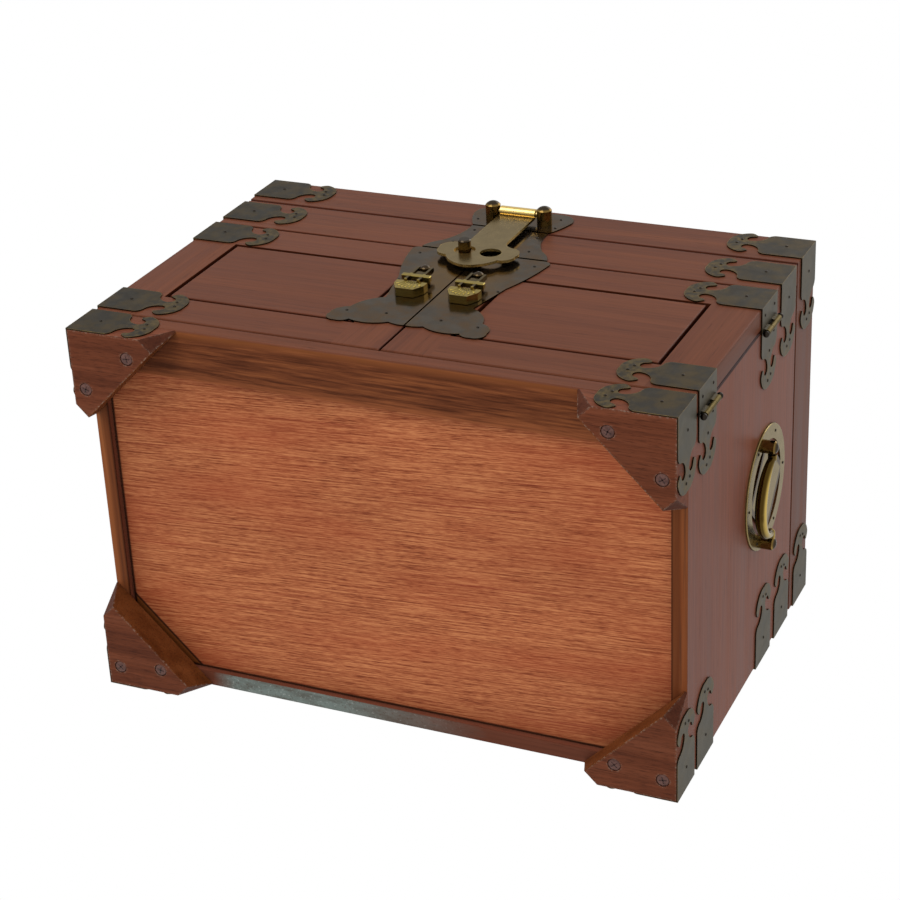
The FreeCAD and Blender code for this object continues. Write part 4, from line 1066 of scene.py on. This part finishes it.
# Nails of the mounts in millimetres: along a leaf from the corner or the hinge, and up from its middle
LEAF_NAILS = ((11.0, 0.6), (34.4, 3.4), (35.8, -1.4))
HINGE_LEAF_NAILS = ((5.6, 7.0), (13.4, 0.4), (26.6, 3.2), (28.2, -1.4))
DOOR_SIDE_NAILS = ((4.2, -7.5), (4.2, 7.5))
LID_LEVEL = LID_HIGH[2] - 12.3 * MM
RAIL_LEVEL = RAIL_HIGH[2] - 15.8 * MM
BASE_LEVEL = 12.3 * MM
DOOR_LEVELS = (DOOR_HIGH[2] - 12.3 * MM, DOOR_LOW[2] + 15.0 * MM)


def face_spots(side, end, level, spots):
    """Nail places on a leaf on the front, where end is -1, or on the back, where it is 1."""
    face = (FRONT if end < 0 else BACK) + end * MOUNT_THICK
    return [(Vector((side * (HALF_WIDTH - along * MM), face, level + up * MM)), Vector((0, end, 0)))
            for along, up in spots]


def side_spots(side, start, way, level, spots):
    """Nail places on a leaf on a side, which runs backwards from its start where way is 1."""
    face = side * (HALF_WIDTH + MOUNT_THICK)
    return [(Vector((face, start + way * along * MM, level + up * MM)), Vector((side, 0, 0)))
            for along, up in spots]


def corner_spots(side, end, level):
    """Nail places on both leaves of a mount round a corner."""
    start = FRONT if end < 0 else BACK
    return face_spots(side, end, level, LEAF_NAILS) + side_spots(side, start, -end, level, LEAF_NAILS)


def nail_all_mounts():
    lid_spots = []
    case_spots = []
    for side in SIDES.values():
        for end in (-1, 1):
            lid_spots += corner_spots(side, end, LID_LEVEL)
            for level in (RAIL_LEVEL, BASE_LEVEL, *(DOOR_LEVELS if end > 0 else ())):
                case_spots += corner_spots(side, end, level)
        for level in DOOR_LEVELS:
            case_spots += side_spots(side, HINGE_Y, 1, level, HINGE_LEAF_NAILS)
    nails("lid_mount_nails", lid_spots, "lid")
    nails("case_mount_nails", case_spots, "case")
    for name, side in SIDES.items():
        door_spots = []
        for level in DOOR_LEVELS:
            door_spots += face_spots(side, -1, level, LEAF_NAILS)
            door_spots += side_spots(side, FRONT, 1, level, DOOR_SIDE_NAILS)
        nails("door_mount_nails_" + name, door_spots, "door_" + name)


# Nails of the lock plates in millimetres: across from the middle and up from the floor
LID_PLATE_NAILS = ((-21.5, 190.2), (20.0, 201.0), (-18.0, 202.0), (21.5, 189.0))
RAIL_PLATE_NAILS = ((-20.8, 156.6), (20.7, 155.5), (-17.0, 175.0), (17.5, 174.0))
DOOR_PLATE_NAILS = ((30.7, 138.0), (14.0, 63.2), (26.0, 103.0), (33.5, 61.0))


def plate_spots(places, side=1):
    return [(Vector((side * x * MM, FRONT - MOUNT_THICK, z * MM)), Vector((0, -1, 0))) for x, z in places]


def nail_lock_plates():
    nails("lid_plate_nails", plate_spots(LID_PLATE_NAILS), "lid")
    nails("rail_plate_nails", plate_spots(RAIL_PLATE_NAILS), "case")
    for name, side in SIDES.items():
        nails("door_plate_nails_" + name, plate_spots(DOOR_PLATE_NAILS, side), "door_" + name)


HANDLE_NAILS = 6
HANDLE_NAIL_INSET = 3.6 * MM


def nail_handle_plates():
    """Nails round the rim of each handle plate, the first at its top."""
    for name, side in SIDES.items():
        low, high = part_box("handle_plate_" + name)
        face_x = high[0] if side > 0 else low[0]
        ring = (high[2] - low[2]) / 2 - HANDLE_NAIL_INSET
        spots = []
        for number in range(HANDLE_NAILS):
            angle = math.pi / 2 + 2 * math.pi * number / HANDLE_NAILS
            at = Vector((face_x, (low[1] + high[1]) / 2 + ring * math.cos(angle),
                         (low[2] + high[2]) / 2 + ring * math.sin(angle)))
            spots.append((at, Vector((side, 0, 0))))
        nails("handle_plate_nails_" + name, spots, "case")


# Foot screws with a cross recess
SCREW_HEAD = 3.3 * MM
SCREW_SEGMENTS = 24
SCREW_SINK = 0.3 * MM
SHANK_SHARE = 0.45
SHANK_UP = 2.2 * MM
DOME_SHARE = 0.75
DOME_DOWN = 0.2 * MM
CROSS_LONG = 3.8 * MM
CROSS_WIDE = 0.62 * MM
CROSS_DEEP = 1.1 * MM
CROSS_PROUD = 0.22 * MM

# Places of the screws at the front and at the back in millimetres: in from the side and from the face
FOOT_SCREWS = {-1: ((31.0, 11.0), (6.5, 30.0)), 1: ((30.0, 13.0), (6.5, 10.0))}

# How far each cross is turned, in radians: all of them, and more by number, side and end
FIRST_TURN = 0.35
NUMBER_TURN = 0.5
SIDE_TURN = 0.3
END_TURN = 0.2


def ring_from(shape, placing, rim, share, rise_by):
    """The edges of a new ring, extruded from a rim, drawn in to a share of its radius and moved up."""
    grown = bmesh.ops.extrude_edge_only(shape, edges=rim)["geom"]
    ring = [item for item in grown if isinstance(item, bmesh.types.BMVert)]
    bmesh.ops.scale(shape, vec=(share, share, 1), space=placing.inverted(), verts=ring)
    bmesh.ops.translate(shape, vec=(0, 0, rise_by), verts=ring)
    edges = [item for item in grown if isinstance(item, bmesh.types.BMEdge)]
    return [edge for edge in edges if edge.verts[0] in ring and edge.verts[1] in ring]


def screw(shape, at, turn):
    """A countersunk screw, head down, with a slightly domed head."""
    placing = Matrix.Translation(at) @ Matrix.Rotation(turn, 4, "Z")
    circle = bmesh.ops.create_circle(shape, cap_ends=False, segments=SCREW_SEGMENTS, radius=SCREW_HEAD,
                                     matrix=placing)["verts"]
    rim = edges_of(shape, circle)
    ring_from(shape, placing, rim, SHANK_SHARE, SHANK_UP)
    bmesh.ops.contextual_create(shape, geom=ring_from(shape, placing, rim, DOME_SHARE, -DOME_DOWN))


def cross_recess(shape, at, turn):
    """The dark walls of the cross, standing just proud of the head's face, whose dark is painted shade in the
    recess.
    """
    for quarter in (0, math.pi / 2):
        placing = Matrix.Translation(at) @ Matrix.Rotation(turn + quarter, 4, "Z")
        size = Matrix.Diagonal((CROSS_LONG, CROSS_WIDE, CROSS_DEEP, 1))
        bmesh.ops.create_cube(shape, size=1, matrix=placing @ size)


def set_foot_screws():
    heads = bmesh.new()
    crosses = bmesh.new()
    for end, spots in FOOT_SCREWS.items():
        face = FRONT if end < 0 else BACK
        for side in SIDES.values():
            for number, (along, aside) in enumerate(spots):
                at = Vector((side * (HALF_WIDTH - along * MM), face - end * aside * MM, SCREW_SINK))
                turn = FIRST_TURN + NUMBER_TURN * number + SIDE_TURN * side + END_TURN * end
                screw(heads, at, turn)
                cross_recess(crosses, at + Vector((0, 0, CROSS_DEEP / 2 - CROSS_PROUD)), turn)
    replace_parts(finished("foot_screw_heads", heads, finish_screw, "case"), "foot_screws")
    finished("foot_screw_crosses", crosses, finish_slot, "case")


# Fan ribs on the flat front face of each drop pull
RIBS = 7
RIB_SEGMENTS = 8
RIB_FOOT = 0.6 * MM
RIB_TOP = 0.22 * MM
RIB_RISE = 0.55
FAN_TOP = (2.2 * MM, 9.2 * MM)
FAN_FOOT = (6.4 * MM, 3.6 * MM)
FAN_FOOT_UP = 1.2 * MM
PULL_BODY_THICK = 4.2 * MM


def rib_pulls():
    """Low round ribs that spread down the face of a pull from its bar, longer in the middle of the fan."""
    for name in SIDES:
        low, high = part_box("pull_drop_" + name)
        face = Vector(((low[0] + high[0]) / 2, high[1] - PULL_BODY_THICK, low[2]))
        shape = bmesh.new()
        for number in range(RIBS):
            fan = 2 * number / (RIBS - 1) - 1
            start = face + Vector((fan * FAN_TOP[0], 0, FAN_TOP[1]))
            finish = face + Vector((fan * FAN_FOOT[0], 0, FAN_FOOT[1] * fan * fan + FAN_FOOT_UP))
            run = start - finish
            placing = facing((start + finish) / 2, run.normalized())
            flat = Matrix.Diagonal((1, RIB_RISE, 1, 1))
            bmesh.ops.create_cone(shape, cap_ends=True, segments=RIB_SEGMENTS, radius1=RIB_FOOT,
                                  radius2=RIB_TOP, depth=run.length, matrix=placing @ flat)
        finished("pull_ribs_" + name, shape, finish_rib, "pull_" + name)


# Square bar across each pull, and the tongue between its arms: size, and how far under the pivot
PULL_BAR = ((14.8 * MM, 2.8 * MM, 2.9 * MM), 10.3 * MM)
PULL_TONGUE = ((5.3 * MM, 1.2 * MM, 5.6 * MM), 6.5 * MM)
BAR_BEVEL = 0.35 * MM
PIVOTS = {joint["name"]: Vector(joint["pos_m"]) for joint in frame["record"]["behaviour"]["joints"]
          if "pos_m" in joint}


def bar_pulls():
    for name in SIDES:
        shape = bmesh.new()
        for size, drop in (PULL_BAR, PULL_TONGUE):
            middle = PIVOTS["pull_" + name + "_hinge"] - Vector((0, 0, drop))
            placing = Matrix.Translation(middle) @ Matrix.Diagonal((*size, 1))
            corners = bmesh.ops.create_cube(shape, size=1, matrix=placing)["verts"]
            bmesh.ops.bevel(shape, geom=edges_of(shape, corners), offset=BAR_BEVEL, offset_type="OFFSET",
                            segments=2, profile=0.5, affect="EDGES", material=-1)
        finished("pull_bars_" + name, shape, finish_pull, "pull_" + name, smooth=False)


nail_all_mounts()
nail_lock_plates()
nail_handle_plates()
set_foot_screws()
rib_pulls()
bar_pulls()


# Stage: a pale floor that shows from above, white surroundings, soft lamps

FLOOR_SIZE = 3.0
FLOOR_GRAIN = (40, 3.0)
FLOOR_SHADES = (tint(238, 238, 237), tint(243, 243, 242))
WORLD_LIGHT = 0.72

# Lamps: place, size and power
LAMPS = {"key_lamp": ((-0.5, -1.2, -0.5), 0.9, 9), "top_lamp": ((0.4, -0.5, 1.4), 1.0, 9)}
LAMP_AIM = Vector((0, 0, 100 * MM))


def floor_finish():
    """Pale floor for the camera above it, and clear for every other ray and from below."""
    material = bpy.data.materials.new("pale_floor")
    material.use_nodes = True
    tree = material.node_tree
    tree.nodes.clear()
    pale = blend(tree, cloud(tree, *FLOOR_GRAIN), *FLOOR_SHADES)
    matt = add(tree, "ShaderNodeBsdfDiffuse", {"Color": pale}).outputs["BSDF"]
    clear = add(tree, "ShaderNodeBsdfTransparent").outputs["BSDF"]
    seen = add(tree, "ShaderNodeLightPath").outputs["Is Camera Ray"]
    under = add(tree, "ShaderNodeNewGeometry").outputs["Backfacing"]
    shows = times(tree, seen, rest_of(tree, under))
    mixed = add(tree, "ShaderNodeMixShader", {0: shows, 1: clear, 2: matt}).outputs["Shader"]
    add(tree, "ShaderNodeOutputMaterial", {"Surface": mixed})
    return material


def lay_floor():
    shape = bmesh.new()
    bmesh.ops.create_grid(shape, x_segments=1, y_segments=1, size=FLOOR_SIZE)
    mesh = bpy.data.meshes.new("floor")
    shape.to_mesh(mesh)
    shape.free()
    mesh.materials.append(floor_finish())
    floor = bpy.data.objects.new("floor", mesh)
    floor.visible_shadow = False
    bpy.context.scene.collection.objects.link(floor)


def surround():
    """White to the eye and in reflections, softer as light."""
    world = bpy.data.worlds.new("studio")
    world.use_nodes = True
    tree = world.node_tree
    back = tree.nodes["Background"]
    back.inputs["Color"].default_value = (1, 1, 1, 1)
    path = add(tree, "ShaderNodeLightPath").outputs
    mirror = larger(tree, path["Is Glossy Ray"], path["Is Transmission Ray"])
    seen = larger(tree, path["Is Camera Ray"], mirror)
    tree.links.new(between(tree, seen, 0.0, 1.0, WORLD_LIGHT, 1.0), back.inputs["Strength"])
    bpy.context.scene.world = world


def hang_lamps():
    """Square soft lights that face the chest."""
    for name, (at, size, power) in LAMPS.items():
        light = bpy.data.lights.new(name, "AREA")
        light.energy = power
        light.size = size
        holder = bpy.data.objects.new(name, light)
        holder.visible_camera = False
        holder.matrix_world = facing(Vector(at), (Vector(at) - LAMP_AIM).normalized())
        bpy.context.scene.collection.objects.link(holder)


def set_camera():
    camera = bpy.data.cameras.new("camera")
    camera.lens = LENS_MM
    camera.sensor_width = SENSOR_MM
    camera.clip_start = CLIP_START
    holder = bpy.data.objects.new("camera", camera)
    right = CAMERA_LOOK.cross(CAMERA_UP).normalized()
    up = right.cross(CAMERA_LOOK).normalized()
    turn = Matrix((right, up, -CAMERA_LOOK.normalized())).transposed().to_4x4()
    holder.matrix_world = Matrix.Translation(CAMERA_AT) @ turn
    bpy.context.scene.collection.objects.link(holder)
    bpy.context.scene.camera = holder


lay_floor()
surround()
hang_lamps()
set_camera()
bpy.context.scene.view_settings.view_transform = "Standard"
